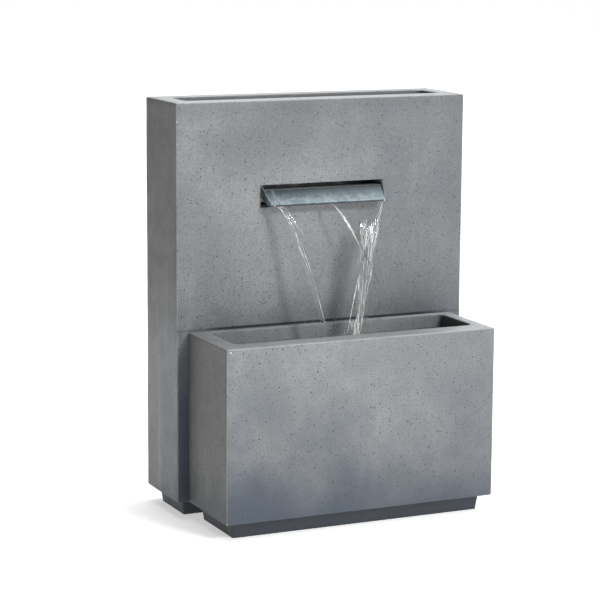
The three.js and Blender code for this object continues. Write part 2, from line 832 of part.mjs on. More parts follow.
function impeller() {
  const { radius, disc, start, end, hub, blades } = IMPELLER;
  const plate = rod("x", radius, end - disc, end, rotorAt, 24);
  const middle = rod("x", hub, start, end, rotorAt, 12);
  const vanes = [];
  for (let i = 0; i < blades; i += 1) {
    const vane = block(start + 0.4, end - disc / 2, -0.8, 0.8, hub - 1, radius - 0.6);
    vanes.push(vane.rotate([(i * 360) / blades, 0, 0]).translate([0, 0, PUMP.axis]));
  }
  return cut(joined(plate, middle, ...vanes), rod("x", SHAFT.bore, start - CUT, end + CUT, rotorAt, 16));
}

function flowKnob() {
  const { z, radius, thick, stem } = KNOB;
  const face = PUMP.half + GAP;
  const disc = rod("y", radius, face, face + thick, [OUTLET.x, z], 16);
  const grips = [];
  for (let i = 0; i < 6; i += 1) {
    const angle = (i * Math.PI) / 3;
    const at = [OUTLET.x + radius * 1.08 * Math.cos(angle), z + radius * 1.08 * Math.sin(angle)];
    grips.push(rod("y", 1.8, face - CUT, face + thick + CUT, at, 8));
  }
  const shaft = rod("y", stem, OUTLET.y + 1, face + 1, [OUTLET.x, z], 12);
  return joined(cut(disc, ...grips), shaft);
}

// ---- Assembly ----
const fountain = new THREE.Group();
fountain.name = "wall_fountain";
fountain.position.y = JOINT_Y;

const pump = new THREE.Group();
pump.position.set(PUMP.x, PUMP.y, FLOOR_TOP + GAP);
fountain.add(pump);

function add(parent, name, body, look) {
  const { vertProperties, triVerts } = body.getMesh();
  const geometry = new THREE.BufferGeometry();
  geometry.setAttribute("position", new THREE.BufferAttribute(vertProperties, 3));
  geometry.setIndex(new THREE.BufferAttribute(triVerts, 1));
  geometry.computeVertexNormals();
  const mesh = new THREE.Mesh(geometry, new THREE.MeshStandardMaterial(LOOKS[look]));
  mesh.name = name;
  parent.add(mesh);
  return mesh;
}

add(fountain, "tower_casing", towerCasing(), "casting");
add(fountain, "basin_casing", basinCasing(), "casting");
add(fountain, "drain_plug", drainPlug(), "rubber");

add(fountain, "spout_chute", joined(spoutChute(), trayApron()), "zinc");
add(fountain, "weir_box", weirBox(), "zinc");
add(fountain, "weir_box_lid", weirLid(), "zinc");
boxScrewPlaces().forEach((place, i) => add(fountain, `weir_box_screw_${i + 1}`, boxScrew(place), "steel"));
add(fountain, "weir_inlet", weirInlet(), "black");
add(fountain, "weir_inlet_seal", downRing(INLET.thread + GAP, INLET.flange, inletSealTop, SEAL_THICK, inletAt), "rubber");
add(
  fountain,
  "weir_inlet_nut",
  hexNut("z", INLET.thread + GAP, INLET.nut, inletNutTop - INLET.nutThick + GAP, inletNutTop, inletAt),
  "black",
);

add(fountain, "bulkhead_fitting", bulkhead(), "black");
add(
  fountain,
  "bulkhead_seal",
  ring("y", BULKHEAD.thread + GAP, BULKHEAD.flange, sealFace - SEAL_THICK, sealFace, bulkheadAt),
  "rubber",
);
const nutFace = TOWER_WALL.front + GAP;
add(
  fountain,
  "bulkhead_nut",
  hexNut("y", BULKHEAD.thread + GAP, BULKHEAD_NUT.radius, nutFace, nutFace + BULKHEAD_NUT.thick, bulkheadAt),
  "black",
);
const basinElbow = add(fountain, "basin_elbow", elbow(), "black");
basinElbow.position.set(BULKHEAD.x, bulkheadEnds.front + ELBOW.socketDepth - GAP, BULKHEAD.z);
basinElbow.rotation.x = Math.PI;
const towerElbow = add(fountain, "tower_elbow", elbow(), "black");
towerElbow.position.set(BULKHEAD.x, bulkheadEnds.back - ELBOW.socketDepth + GAP, BULKHEAD.z);

add(fountain, "cable_gland", cableGland(), "black");
add(
  fountain,
  "cable_gland_seal",
  ring("y", GLAND.thread + GAP, GLAND.flange, sealFace - SEAL_THICK, sealFace, [GLAND.x, GLAND.z]),
  "rubber",
);
add(
  fountain,
  "cable_gland_nut",
  hexNut("y", GLAND.thread + GAP, GLAND.nut, nutFace, nutFace + GLAND.nutThick, [GLAND.x, GLAND.z]),
  "black",
);
add(fountain, "cable_grommet", cableGrommet(), "rubber");

TIE.xs.forEach((x, i) => {
  const at = [x, TIE.z];
  const washerEnd = nutFace + WASHER_THICK;
  const nut = hexNut("y", TIE.shank + GAP, TIE.head, washerEnd + GAP, washerEnd + GAP + TIE.nutHeight, at);
  add(fountain, `tie_bolt_${i + 1}`, tieBolt(x), "steel");
  add(
    fountain,
    `tie_seal_${i + 1}`,
    ring("y", TIE.shank + GAP, TIE_WASHER, sealFace - SEAL_THICK, sealFace, at, 12),
    "rubber",
  );
  add(fountain, `tie_washer_${i + 1}`, ring("y", TIE.shank + GAP, TIE_WASHER, nutFace, washerEnd, at, 12), "steel");
  add(fountain, `tie_nut_${i + 1}`, nut, "steel");
});

Object.entries(hoseRoutes).forEach(([name, { from, to, steps }]) => {
  add(fountain, `${name}_hose`, hose(from, to, steps), "vinyl");
  const ends = [from.clone().setZ(from.z + BAND.fromEnd), to.clone().setZ(to.z - BAND.fromEnd)];
  ends.forEach((at, i) => {
    add(fountain, `${name}_clamp_band_${i + 1}`, clampBand(at), "steel");
    add(fountain, `${name}_clamp_screw_${i + 1}`, clampScrew(at), "steel");
  });
});

add(pump, "pump_housing", pumpHousing(), "black");
footPlaces().forEach((at, i) => add(pump, `pump_foot_${i + 1}`, pumpFoot(at), "rubber"));
add(pump, "pump_cable_gland", pumpCableGland(), "rubber");
add(pump, "pump_outlet_nozzle", outletNozzle(), "black");
add(pump, "pump_chamber_cover", chamberCover(), "black");
add(pump, "pump_cover_seal", coverSeal(), "rubber");
add(pump, "pump_strainer_cover", strainerCover(), "black");
add(pump, "pump_impeller", impeller(), "white");
add(pump, "pump_rotor_magnet", ring("x", SHAFT.bore, MAGNET.radius, MAGNET.start, MAGNET.end, rotorAt), "ferrite");
add(pump, "pump_shaft", rod("x", SHAFT.radius, SHAFT.start, SHAFT.end, rotorAt, 12), "ceramic");
add(pump, "pump_front_bush", ring("x", SHAFT.bore, COVER.bushHole - GAP, COVER.start, COVER.end, rotorAt, 12), "rubber");
add(pump, "pump_rear_bush", ring("x", SHAFT.bore, WELL.radius - 2, MAGNET.end + 0.6, WELL.depth - GAP, rotorAt, 12), "rubber");
add(pump, "pump_flow_knob", flowKnob(), "black");

export default fountain;
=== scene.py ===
"""Looks of the wall-style water fountain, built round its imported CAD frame. Metres, +Z up, +Y to the back."""

import json
import math
import random

import bmesh
import bpy
from mathutils import Matrix, Vector, noise


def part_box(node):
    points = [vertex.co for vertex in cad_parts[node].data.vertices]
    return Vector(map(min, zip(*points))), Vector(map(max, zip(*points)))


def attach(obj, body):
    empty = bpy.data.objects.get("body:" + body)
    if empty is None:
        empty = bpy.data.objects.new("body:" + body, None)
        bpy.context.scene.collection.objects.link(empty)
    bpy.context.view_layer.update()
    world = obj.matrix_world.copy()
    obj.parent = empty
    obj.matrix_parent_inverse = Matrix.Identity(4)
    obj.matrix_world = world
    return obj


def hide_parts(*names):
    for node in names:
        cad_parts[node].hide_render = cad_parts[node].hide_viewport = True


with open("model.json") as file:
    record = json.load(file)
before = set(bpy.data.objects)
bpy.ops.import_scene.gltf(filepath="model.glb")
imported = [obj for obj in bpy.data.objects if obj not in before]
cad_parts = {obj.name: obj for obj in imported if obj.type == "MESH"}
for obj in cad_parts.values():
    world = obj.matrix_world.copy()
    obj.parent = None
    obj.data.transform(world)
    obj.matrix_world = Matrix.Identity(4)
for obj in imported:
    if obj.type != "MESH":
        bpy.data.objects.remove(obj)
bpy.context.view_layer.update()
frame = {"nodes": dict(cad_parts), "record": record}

MM = 0.001
SEED = 11
noise.seed_set(SEED)
RECORD = frame["record"]
BODY_OF = {name: body for body, names in RECORD["behaviour"]["bodies"].items() for name in names}
SLOT_OF = {part["node"]: part["material_slot"] for part in RECORD["subparts"]}

TOWER_LOW, TOWER_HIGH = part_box("tower_casing")
BASIN_LOW, BASIN_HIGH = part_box("basin_casing")
SPOUT_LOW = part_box("spout_chute")[0]
JOINT_Y = (TOWER_LOW[1] + BASIN_HIGH[1]) / 2  # plane where the two castings meet

# ---- Castings ----
TOWER_WALL = {"side": 22 * MM, "front": 22 * MM, "back": 20 * MM}
TOWER_RIM = {"left": 35 * MM, "right": 34 * MM, "front": 40 * MM, "back": 36 * MM}
TOWER_RIM_HEIGHT = 34 * MM
BASIN_WALL = {"side": 22 * MM, "front": 24 * MM, "back": 15 * MM}
BASIN_RIM = {"left": 35 * MM, "right": 25 * MM, "front": 44 * MM, "back": 15 * MM}
BASIN_RIM_HEIGHT = 30 * MM
RIM_SLOPE = 12 * MM
PLINTH_HEIGHT = 30.5 * MM
PLINTH_INSET = 18 * MM
PLINTH_TAPER = 4 * MM
FLOOR_TOP = 50 * MM
EDGE_RADIUS = 3.2 * MM
INNER_RADIUS = 12 * MM
SKIN = 14 * MM  # how deep the castings' unevenness reaches; less than the thinnest wall
DRAIN_SEAT = {"low": 22 * MM, "narrow": 10.8 * MM, "slope": 2 / 28}  # the tapered hole that the plug sits in
SLOT = {"left": -131 * MM, "right": 126 * MM, "bottom": 583.3 * MM, "top": 625.5 * MM}
WATER_LEVEL = 331 * MM


# ---- Node helpers ----
class Signal:
    """A value in a node tree. Sums, differences and products with it become Math nodes of that tree."""

    def __init__(self, socket):
        self.socket = socket
        self.tree = socket.id_data

    def maths(self, operation, *values):
        made = self.tree.nodes.new("ShaderNodeMath")
        made.operation = operation
        for socket, value in zip(made.inputs, values):
            put(socket, value)
        return Signal(made.outputs[0])

    def __add__(self, other):
        return self.maths("ADD", self, other)

    def __sub__(self, other):
        return self.maths("SUBTRACT", self, other)

    def __rsub__(self, other):
        return self.maths("SUBTRACT", other, self)

    def __mul__(self, other):
        return self.maths("MULTIPLY", self, other)

    def __abs__(self):
        return self.maths("ABSOLUTE", self)

    def smaller(self, other):
        return self.maths("MINIMUM", self, other)

    def larger(self, other):
        return self.maths("MAXIMUM", self, other)


def put(socket, value):
    if isinstance(value, Signal):
        value.tree.links.new(value.socket, socket)
    else:
        socket.default_value = value


def feed(made, **inputs):
    """Sets a node's inputs, which are named after its sockets with _ for a space."""
    for key, value in inputs.items():
        put(made.inputs[key.replace("_", " ")], value)


def node(tree, kind, settings=None, **inputs):
    """The outputs of a new node, by name."""
    made = tree.nodes.new("ShaderNode" + kind)
    for key, value in (settings or {}).items():
        setattr(made, key, value)
    feed(made, **inputs)
    return {output.name: Signal(output) for output in made.outputs}


def new_material(name):
    material = bpy.data.materials.new(name)
    material.use_nodes = True
    tree = material.node_tree
    tree.nodes.clear()
    shader = tree.nodes.new("ShaderNodeBsdfPrincipled")
    output = tree.nodes.new("ShaderNodeOutputMaterial")
    tree.links.new(shader.outputs[0], output.inputs["Surface"])
    return material, tree, shader


def ramp(value, low, high, to_low=0.0, to_high=1.0):
    """A value's smooth step from one number to another while it goes from low to high."""
    made = value.tree.nodes.new("ShaderNodeMapRange")
    made.interpolation_type = "SMOOTHSTEP"
    feed(made, Value=value, From_Min=low, From_Max=high, To_Min=to_low, To_Max=to_high)
    return Signal(made.outputs[0])


def mix(factor, first, second):
    made = factor.tree.nodes.new("ShaderNodeMix")
    made.data_type = "RGBA"
    put(made.inputs["Factor"], factor)
    put(made.inputs[6], first)
    put(made.inputs[7], second)
    return Signal(made.outputs[2])


def layered(colour, layers):
    """A colour with tints laid over it in order, each by its own share."""
    for share, tint in layers:
        colour = mix(share, colour, (*tint, 1))
    return colour


def object_place(tree, stretch=(1, 1, 1)):
    coordinates = node(tree, "TexCoord")
    return node(tree, "Mapping", Vector=coordinates["Object"], Scale=stretch)["Vector"]


def split(vector):
    """The X, Y and Z of a vector."""
    return node(vector.tree, "SeparateXYZ", Vector=vector)


def facing_of(tree):
    return split(node(tree, "NewGeometry")["Normal"])


def noise_of(place, scale, detail=3.0, roughness=0.55, distortion=0.0):
    inputs = {"Scale": scale, "Detail": detail, "Roughness": roughness, "Distortion": distortion}
    return node(place.tree, "TexNoise", Vector=place, **inputs)["Fac"]


def bump(height, distance, strength):
    return node(height.tree, "Bump", Height=height, Distance=distance, Strength=strength)["Normal"]


def grey(value):
    return (value, value, value, 1)


# ---- Materials ----
def edge_distance(place, low, high):
    """How far a point of a box's surface lies from the nearest edge of that box, in metres."""
    axes = split(place)
    x, y, z = (abs((axes["XYZ"[i]] - low[i]).smaller(high[i] - axes["XYZ"[i]])) for i in range(3))
    smallest = x.smaller(y).smaller(z)
    largest = x.larger(y).larger(z)
    return x + y + z - smallest - largest


def pinholes(place, scale, radius, share):
    """1 inside small round pits scattered one to a cell, for that share of the cells, and 0 outside them."""
    cells = node(place.tree, "TexVoronoi", {"feature": "F1"}, Vector=place, Scale=scale, Randomness=1.0)
    pick = node(place.tree, "SeparateColor", Color=cells["Color"])["Red"]
    size = ramp(pick, 1 - share, 1.0, 0.4 * radius * scale, radius * scale)
    return pick.maths("LESS_THAN", cells["Distance"], size * pick.maths("GREATER_THAN", pick, 1 - share))


def band(value, middle, inner, outer):
    """1 within inner of a middle value, falling to 0 at outer."""
    return ramp(abs(value - middle), inner, outer, 1.0, 0.0)


def middle_patch(axes, patch):
    """A broad paler patch on a front face, given by its middle (x, z), reach and share."""
    x, z, reach, share = patch
    return band(axes["X"], x, 0.25 * reach, reach) * band(axes["Z"], z, 0.25 * reach, reach) * share


def chip(place, unevenness, spot, radius):
    """1 on a small chipped spot, a ragged ball round a corner, and 0 elsewhere."""
    away = node(place.tree, "VectorMath", {"operation": "DISTANCE"}, Vector=place)["Value"]
    put(away.socket.node.inputs[1], spot)
    return ramp(away + unevenness * (3 * MM), radius, radius + 1 * MM, 1.0, 0.0)


def crease_shade_and_dirt(axes, low, height):
    """A dark line where the basin's back edge meets a casting's front face: painted shade in the crease, with
    some dirt.
    """
    line = band(axes["Z"], height, 1.6 * MM, 3.2 * MM)
    ends = band(axes["X"], 0, 0.2, 0.262)
    on_front = ramp(axes["Y"], low[1] + 3 * MM, low[1] + 6 * MM, 1.0, 0.0)
    return line * (ends * 0.7 + 0.3) * on_front


def cast_stone(name, low, high, look):
    """Cast cement: cloudy grey with fine grain, pinholes, soft upright streaks and paler worn edges.

    look holds the heights and shares of the darker foot, the painted shade at the top of the sides and the
    painted reflection on the rim."""
    material, tree, shader = new_material(name)
    place = object_place(tree)
    clouds = noise_of(place, 5.5, 4, 0.55, 0.3)
    mottle = noise_of(place, 42, 6, 0.7, 0.2)
    streaks = noise_of(object_place(tree, (34, 34, 2.0)), 1.0, 3, 0.55)
    grain = noise_of(place, 430, 3, 0.75)
    axes, facing = split(place), facing_of(tree)
    height = axes["Z"]
    on_side = ramp(abs(facing["X"]), 0.6, 0.9)
    off_side = 1.0 - on_side
    drifting = height + (clouds - 0.5) * 0.3
    edge = edge_distance(place, low, high)
    worn = edge + mottle * (-2.0 * MM)
    on_top = ramp(facing["Z"], 0.6, 0.95) * ramp(height, high[2] - 9 * MM, high[2] - 4 * MM)
    rim_reflection_area = on_top * ramp(axes["X"], *look["rim_reflection_from"])
    chipping = ramp(noise_of(place, 55, 3, 0.6), 0.7, 0.73)
    pits = pinholes(place, 155, 1.5 * MM, 0.3).larger(pinholes(place, 270, 0.95 * MM, 0.65))
    layers = (
        (ramp(mottle, 0.3, 0.66, 0.5, 0.0), (0.15, 0.162, 0.172)),
        (ramp(streaks, 0.35, 0.7, 0.3, 0.0), (0.15, 0.155, 0.16)),
        (on_side * ramp(streaks, 0.52, 0.72, 0.0, 0.4), (0.33, 0.33, 0.32)),
        (off_side * ramp(drifting, *look["foot"], 0.95, 0.0), (0.045, 0.063, 0.09)),
        (on_side * ramp(drifting, *look["side_foot"], 0.6, 0.0), (0.06, 0.075, 0.095)),
        # painted shade: the side faces are darkened, more towards their top
        (on_side * ramp(height, *look["side_top_shade"]), (0.056, 0.055, 0.05)),
        (off_side * middle_patch(axes, look["patch"]), (0.34, 0.35, 0.352)),
        (ramp(height, high[2] - 45 * MM, high[2] - 10 * MM, 0.0, look["top_dark"]), (0.1, 0.105, 0.11)),
        (ramp(axes["X"], -0.02, 0.28, 0.0, look["right_dark"]), (0.11, 0.125, 0.14)),
        (ramp(grain, 0.28, 0.6, 0.55, 0.0), (0.08, 0.08, 0.08)),
        (ramp(grain, 0.58, 0.8, 0.0, 0.32), (0.5, 0.5, 0.5)),
        (ramp(worn, 0.2 * MM, 2.0 * MM, 0.3, 0.0), (0.42, 0.44, 0.45)),
        # painted reflection: the rim's top is lightened as if it mirrored the bright surroundings
        (rim_reflection_area * look["rim_reflection_share"], (0.62, 0.63, 0.64)),
        (chipping * ramp(edge, 2.0 * MM, 3.4 * MM, 1.0, 0.0), (0.72, 0.73, 0.73)),
        *((chip(place, mottle, *spot), (0.74, 0.75, 0.75)) for spot in look["chips"]),
        (pits * 0.85, (0.022, 0.026, 0.03)),
        # painted shade: the recessed plinth under the casting is darkened
        (ramp(height, PLINTH_HEIGHT - 1 * MM, PLINTH_HEIGHT, 0.8, 0.0), (0.018, 0.023, 0.032)),
        # painted shade, with some dirt, along the crease above the basin's back edge
        (crease_shade_and_dirt(axes, low, look["crease"]), (0.012, 0.015, 0.02)),
    )
    base = mix(ramp(clouds, 0.36, 0.64), (*look["dull"], 1), (*look["pale"], 1))
    gloss = ramp(mottle, 0.2, 0.8, 0.46, 0.64)
    relief = clouds * 0.8 + mottle * 0.35 + grain * 0.16 - pits * 0.6
    feed(shader, Base_Color=layered(base, layers), Roughness=gloss - rim_reflection_area * 0.2, Specular_IOR_Level=0.5)
    feed(shader, Normal=bump(relief, 1.4 * MM, 0.6))
    return material


# Heights and places are in metres. A pair is where a tone starts and ends, and a share is how strong it is.
TOWER_LOOK = {
    "dull": (0.14, 0.156, 0.168),
    "pale": (0.226, 0.235, 0.24),
    "foot": (0.2, 0.43),
    "side_foot": (0.0, 0.12),
    "side_top_shade": (0.28, 0.5, 0.0, 0.82),
    "top_dark": 0.35,
    "right_dark": 0.42,
    "rim_reflection_from": (-1.0, -0.9),
    "rim_reflection_share": 0.35,
    "crease": BASIN_HIGH[2] + 1.6 * MM,
    "patch": (-0.07, 0.515, 0.21, 0.45),
    "chips": (),
}
BASIN_LOOK = {
    "dull": (0.185, 0.204, 0.218),
    "pale": (0.262, 0.273, 0.279),
    "foot": (0.0, 0.285),
    "side_foot": (0.0, 0.1),
    "side_top_shade": (0.02, 0.3, 0.5, 0.82),
    "top_dark": 0.0,
    "right_dark": 0.08,
    "rim_reflection_from": (0.1, 0.2),
    "rim_reflection_share": 0.34,
    "crease": -1.0,  # below the ground: the basin has none
    "patch": (0.03, 0.27, 0.26, 0.12),
    "chips": (
        (Vector((BASIN_LOW[0] + 8 * MM, BASIN_LOW[1], BASIN_HIGH[2] - 6 * MM)), 2.4 * MM),
        (Vector((BASIN_LOW[0] + 1 * MM, BASIN_LOW[1], 42 * MM)), 1.2 * MM),
        (Vector((BASIN_LOW[0] + 2 * MM, BASIN_LOW[1] + 1 * MM, 33 * MM)), 1.8 * MM),
    ),
}


def solid_stuff(name, colour, stain, metallic, gloss, grain=(900, 900, 900), relief=0.12 * MM, spread=0.5):
    """A plain material with cloudy stains, fine grain, lighter flecks where the grain stands up and uneven
    gloss.
    """
    material, tree, shader = new_material(name)
    clouds = noise_of(object_place(tree), 45, 5, 0.6, 0.4)
    fine = noise_of(object_place(tree, grain), 1.0, 3, 0.6)
    scuffs = noise_of(object_place(tree, (300, 60, 140)), 1.0, 4, 0.7, 0.8)
    lighter = tuple(min(1.0, channel * 1.35 + 0.015) for channel in colour)
    base = mix(ramp(clouds, 0.35, 0.68, 0.0, spread), (*colour, 1), (*stain, 1))
    layers = ((ramp(fine, 0.45, 0.75, 0.0, 0.35), lighter), (ramp(scuffs, 0.66, 0.74, 0.0, 0.4), lighter))
    feed(shader, Base_Color=layered(base, layers), Metallic=metallic, Normal=bump(fine, relief, 0.6))
    feed(shader, Roughness=ramp(clouds * 0.6 + scuffs * 0.4, 0.3, 0.7, *gloss))
    return material


def folded_zinc(name):
    """Blue-grey weathered sheet: blotchy, faintly brushed along X, darker at the rear, with a painted highlight
    along the bend at the wall face and painted shade on the hem.
    """
    material, tree, shader = new_material(name)
    place = object_place(tree)
    blotches = noise_of(place, 60, 5, 0.62, 0.8)
    brushed = noise_of(object_place(tree, (12, 900, 900)), 1.0, 3, 0.6)
    water_marks = noise_of(object_place(tree, (110, 25, 25)), 1.0, 4, 0.6, 0.5)
    axes = split(place)
    hem_front = ramp(facing_of(tree)["Y"], -0.98, -0.88, 1.0, 0.0)
    # painted shade: the hem's front face under the lip is darkened
    hem_shade = hem_front * ramp(axes["Z"], SPOUT_LOW[2] + 5 * MM, SPOUT_LOW[2] + 6 * MM, 0.94, 0.0)
    rear = ramp(axes["Y"], SPOUT_LOW[1] + 3 * MM, SPOUT_LOW[1] + 27 * MM, 0.0, 0.86)
    layers = (
        (rear, (0.026, 0.038, 0.046)),
        # painted highlight: a light band along the bend where the chute meets the wall face
        (ramp(axes["Y"], JOINT_Y - 1.5 * MM, JOINT_Y - 0.5 * MM), (0.3, 0.3, 0.29)),
        (ramp(water_marks, 0.62, 0.72, 0.0, 0.35), (0.33, 0.37, 0.38)),
        (hem_shade, (0.012, 0.016, 0.02)),
    )
    base = mix(ramp(blotches, 0.36, 0.66), (0.085, 0.118, 0.137, 1), (0.2, 0.245, 0.265, 1))
    relief = blotches * 0.7 + brushed * 0.12
    feed(shader, Base_Color=layered(base, layers), Metallic=0.4, Normal=bump(relief, 0.5 * MM, 0.5))
    feed(shader, Roughness=ramp(blotches, 0.3, 0.7, 0.3, 0.52))
    return material


def water_material(name, clarity, roughness, tint=(1, 1, 1)):
    """Clear water, or at a lower clarity white water: water full of air, which on the falling threads also
    stands in for painted highlights.
    """
    material, tree, shader = new_material(name)
    bubbles = noise_of(object_place(tree), 420, 3, 0.6)
    duller = tuple(0.95 * part for part in tint)
    feed(shader, Base_Color=mix(ramp(bubbles, 0.4, 0.7), (*duller, 1), (*tint, 1)))
    feed(shader, Roughness=ramp(bubbles, 0.3, 0.7, roughness, roughness + 0.06))
    feed(shader, IOR=1.333, Transmission_Weight=clarity, Normal=bump(bubbles, 0.12 * MM, 0.25))
    return material


# For each slot: the material's name, colour, stain, metallic share, gloss from low to high, and what differs.
STUFFS = {
    "box_zinc": (
        ("galvanised_sheet", (0.42, 0.45, 0.47), (0.26, 0.29, 0.31), 0.85, (0.32, 0.6)),
        {"grain": (90, 90, 90), "relief": 0.2 * MM, "spread": 0.9},
    ),
    "stainless": (
        ("stainless_steel", (0.6, 0.6, 0.58), (0.42, 0.41, 0.39), 1.0, (0.22, 0.42)),
        {"grain": (120, 1600, 1600)},
    ),
    "rubber": (
        ("black_rubber", (0.018, 0.018, 0.02), (0.045, 0.044, 0.042), 0.0, (0.6, 0.85)),
        {"relief": 0.2 * MM},
    ),
    "hose_vinyl": (("hose_vinyl", (0.03, 0.034, 0.038), (0.07, 0.075, 0.075), 0.0, (0.3, 0.52)), {}),
    "impeller_plastic": (("off_white_plastic", (0.72, 0.71, 0.65), (0.56, 0.53, 0.45), 0.0, (0.3, 0.5)), {}),
    "ferrite": (
        ("ground_ferrite", (0.055, 0.055, 0.06), (0.1, 0.095, 0.09), 0.3, (0.35, 0.6)),
        {"grain": (60, 1500, 1500)},
    ),
    "shaft_ceramic": (
        ("white_ceramic", (0.84, 0.83, 0.79), (0.74, 0.73, 0.7), 0.0, (0.12, 0.25)),
        {"relief": 0.03 * MM},
    ),
    "knob_plastic": (("dark_blue_plastic", (0.03, 0.11, 0.19), (0.06, 0.14, 0.2), 0.0, (0.35, 0.55)), {}),
    "pump_plastic": (
        ("pump_plastic", (0.02, 0.021, 0.023), (0.05, 0.05, 0.048), 0.0, (0.4, 0.66)),
        {"relief": 0.22 * MM},
    ),
    "fitting_plastic": (
        ("fitting_plastic", (0.028, 0.029, 0.031), (0.06, 0.058, 0.055), 0.0, (0.32, 0.55)),
        {},
    ),
}
MATERIALS = {slot: solid_stuff(*traits, **special) for slot, (traits, special) in STUFFS.items()}
MATERIALS["spout_zinc"] = folded_zinc("folded_zinc")


# ---- Mesh helpers ----
def linked(name, data):
    """A new object in the scene, with that mesh, lamp or camera."""
    made = bpy.data.objects.new(name, data)
    bpy.context.scene.collection.objects.link(made)
    return made


def add_object(name, mesh, material, smooth_angle=35):
    for polygon in mesh.polygons:
        polygon.use_smooth = True
    mesh.set_sharp_from_angle(angle=math.radians(smooth_angle))
    mesh.materials.clear()
    mesh.materials.append(material)
    return linked(name, mesh)


def mesh_from(name, vertices, faces):
    mesh = bpy.data.meshes.new(name)
    mesh.from_pydata([tuple(v) for v in vertices], [], faces)
    mesh.update()
    return mesh


def spaced(count):
    return [i / count for i in range(count)]


def tube_faces(around, rows, base=0):
    """Faces of a closed tube, whose rings have that many points around, with a flat cap at both ends."""
    faces = []
    for i in range(rows):
        for j in range(around):
            a, b = base + i * around + j, base + i * around + (j + 1) % around
            faces.append((a, b, b + around, a + around))
    faces.append(tuple(reversed(range(base, base + around))))
    faces.append(tuple(range(base + rows * around, base + (rows + 1) * around)))
    return faces


def ring_point(axis, centre, radius, angle, along):
    """A point on a circle round an axis, at a place along it."""
    point = [0.0, 0.0, 0.0]
    point[axis] = along
    point[(axis + 1) % 3] = centre[(axis + 1) % 3] + radius * math.cos(angle)
    point[(axis + 2) % 3] = centre[(axis + 2) % 3] + radius * math.sin(angle)
    return point


def outline(box, radius, counts, arc=5):
    """Points of a rectangle with round corners, anticlockwise from above, its sides split into even steps."""
    x0, x1, y0, y1 = shrunk(box, radius)
    corners = []
    for quarter, (cx, cy) in enumerate(((x1, y1), (x0, y1), (x0, y0), (x1, y0))):
        angles = [(quarter + step / arc) * math.pi / 2 for step in range(arc + 1)]
        corners.append([(cx + radius * math.cos(a), cy + radius * math.sin(a)) for a in angles])
    points = []
    for quarter, corner in enumerate(corners):
        points += corner[:-1]
        start, end = corner[-1], corners[(quarter + 1) % 4][0]
        for t in spaced(counts[quarter % 2]):
            points.append((start[0] + (end[0] - start[0]) * t, start[1] + (end[1] - start[1]) * t))
    return points


def shrunk(box, by):
    x0, x1, y0, y1 = box
    return (x0 + by, x1 - by, y0 + by, y1 - by)


def arc_rings(box, z, radius, start, end, corner, steps=4):
    """Rings round an edge's quarter circle, from one angle to another, in degrees."""
    rings = []
    for step in range(steps + 1):
        angle = math.radians(start + (end - start) * step / steps)
        inset = radius * (1 - math.cos(angle))
        rings.append((shrunk(box, inset), z + radius * math.sin(angle), corner))
    return rings


def climbing(low, high, step):
    """Heights from low to high in even steps of about that size."""
    count = max(1, round((high - low) / step))
    return [low + (high - low) * i / count for i in range(count + 1)]


def cast_shell(outer, inner, mouth, height, rim_height, step=9 * MM):
    """A closed cast box: plinth, walls with round edges, rim, and a hollow that widens below the rim."""
    counts = (round((outer[1] - outer[0]) / step), round((outer[3] - outer[2]) / step))
    corner = EDGE_RADIUS + 0.5 * MM
    rings = []
    for z in climbing(0, PLINTH_HEIGHT, 7 * MM):
        inset = PLINTH_INSET + PLINTH_TAPER * (1 - z / PLINTH_HEIGHT)
        rings.append((shrunk(outer, inset), z, corner))
    bottom = PLINTH_HEIGHT + EDGE_RADIUS
    rings.append((shrunk(outer, EDGE_RADIUS + 3 * MM), PLINTH_HEIGHT, corner))
    rings += arc_rings(outer, bottom, EDGE_RADIUS, -90, 0, corner)
    rings += [(outer, z, corner) for z in climbing(bottom, height - EDGE_RADIUS, step)[1:-1]]
    rings += arc_rings(outer, height - EDGE_RADIUS, EDGE_RADIUS, 0, 90, corner)
    mouth_corner = INNER_RADIUS + EDGE_RADIUS
    rings += arc_rings(mouth, height - EDGE_RADIUS, -EDGE_RADIUS, -90, 0, mouth_corner)
    rim_bottom = height - rim_height
    rim = climbing(rim_bottom, height - EDGE_RADIUS, step)[:-1]
    rings += [(mouth, z, INNER_RADIUS) for z in reversed(rim)]
    rings.append((inner, rim_bottom - RIM_SLOPE, INNER_RADIUS))
    fillet = 6 * MM
    hollow = climbing(FLOOR_TOP + fillet, rim_bottom - RIM_SLOPE, 16 * MM)[:-1]
    rings += [(inner, z, INNER_RADIUS) for z in reversed(hollow)]
    rings += arc_rings(inner, FLOOR_TOP + fillet, fillet, 0, -90, INNER_RADIUS)
    vertices = []
    for box, z, radius in rings:
        vertices += [(x, y, z) for x, y in outline(box, radius, counts)]
    return vertices, tube_faces(len(vertices) // len(rings), len(rings) - 1)


def uneven(point, amount):
    """A hand-cast surface's slow waves, as a shift of a point."""
    slow = noise.noise_vector(point * 7.0)
    quick = noise.noise_vector(point * 31.0 + Vector((5, 9, 2)))
    return point + slow * amount + quick * (amount * 0.35)


def box_mesh(low, high):
    x0, y0, z0 = low
    x1, y1, z1 = high
    vertices = [(x, y, z) for z in (z0, z1) for y in (y0, y1) for x in (x0, x1)]
    faces = [(0, 2, 3, 1), (4, 5, 7, 6), (0, 1, 5, 4), (2, 6, 7, 3), (0, 4, 6, 2), (1, 3, 7, 5)]
    return mesh_from("cutter", vertices, faces)


def rod_mesh(axis, centre, radius, start, end, segments=32, end_radius=None):
    """A closed cylinder or cone along one axis, round the two coordinates across it, in X, Y, Z order."""
    vertices = []
    for along, size in ((start, radius), (end, end_radius or radius)):
        for i in range(segments):
            angle = i / segments * math.tau
            point = [centre[0] + size * math.cos(angle), centre[1] + size * math.sin(angle)]
            point.insert(axis, along)
            vertices.append(point)
    return mesh_from("cutter", vertices, tube_faces(segments, 1))


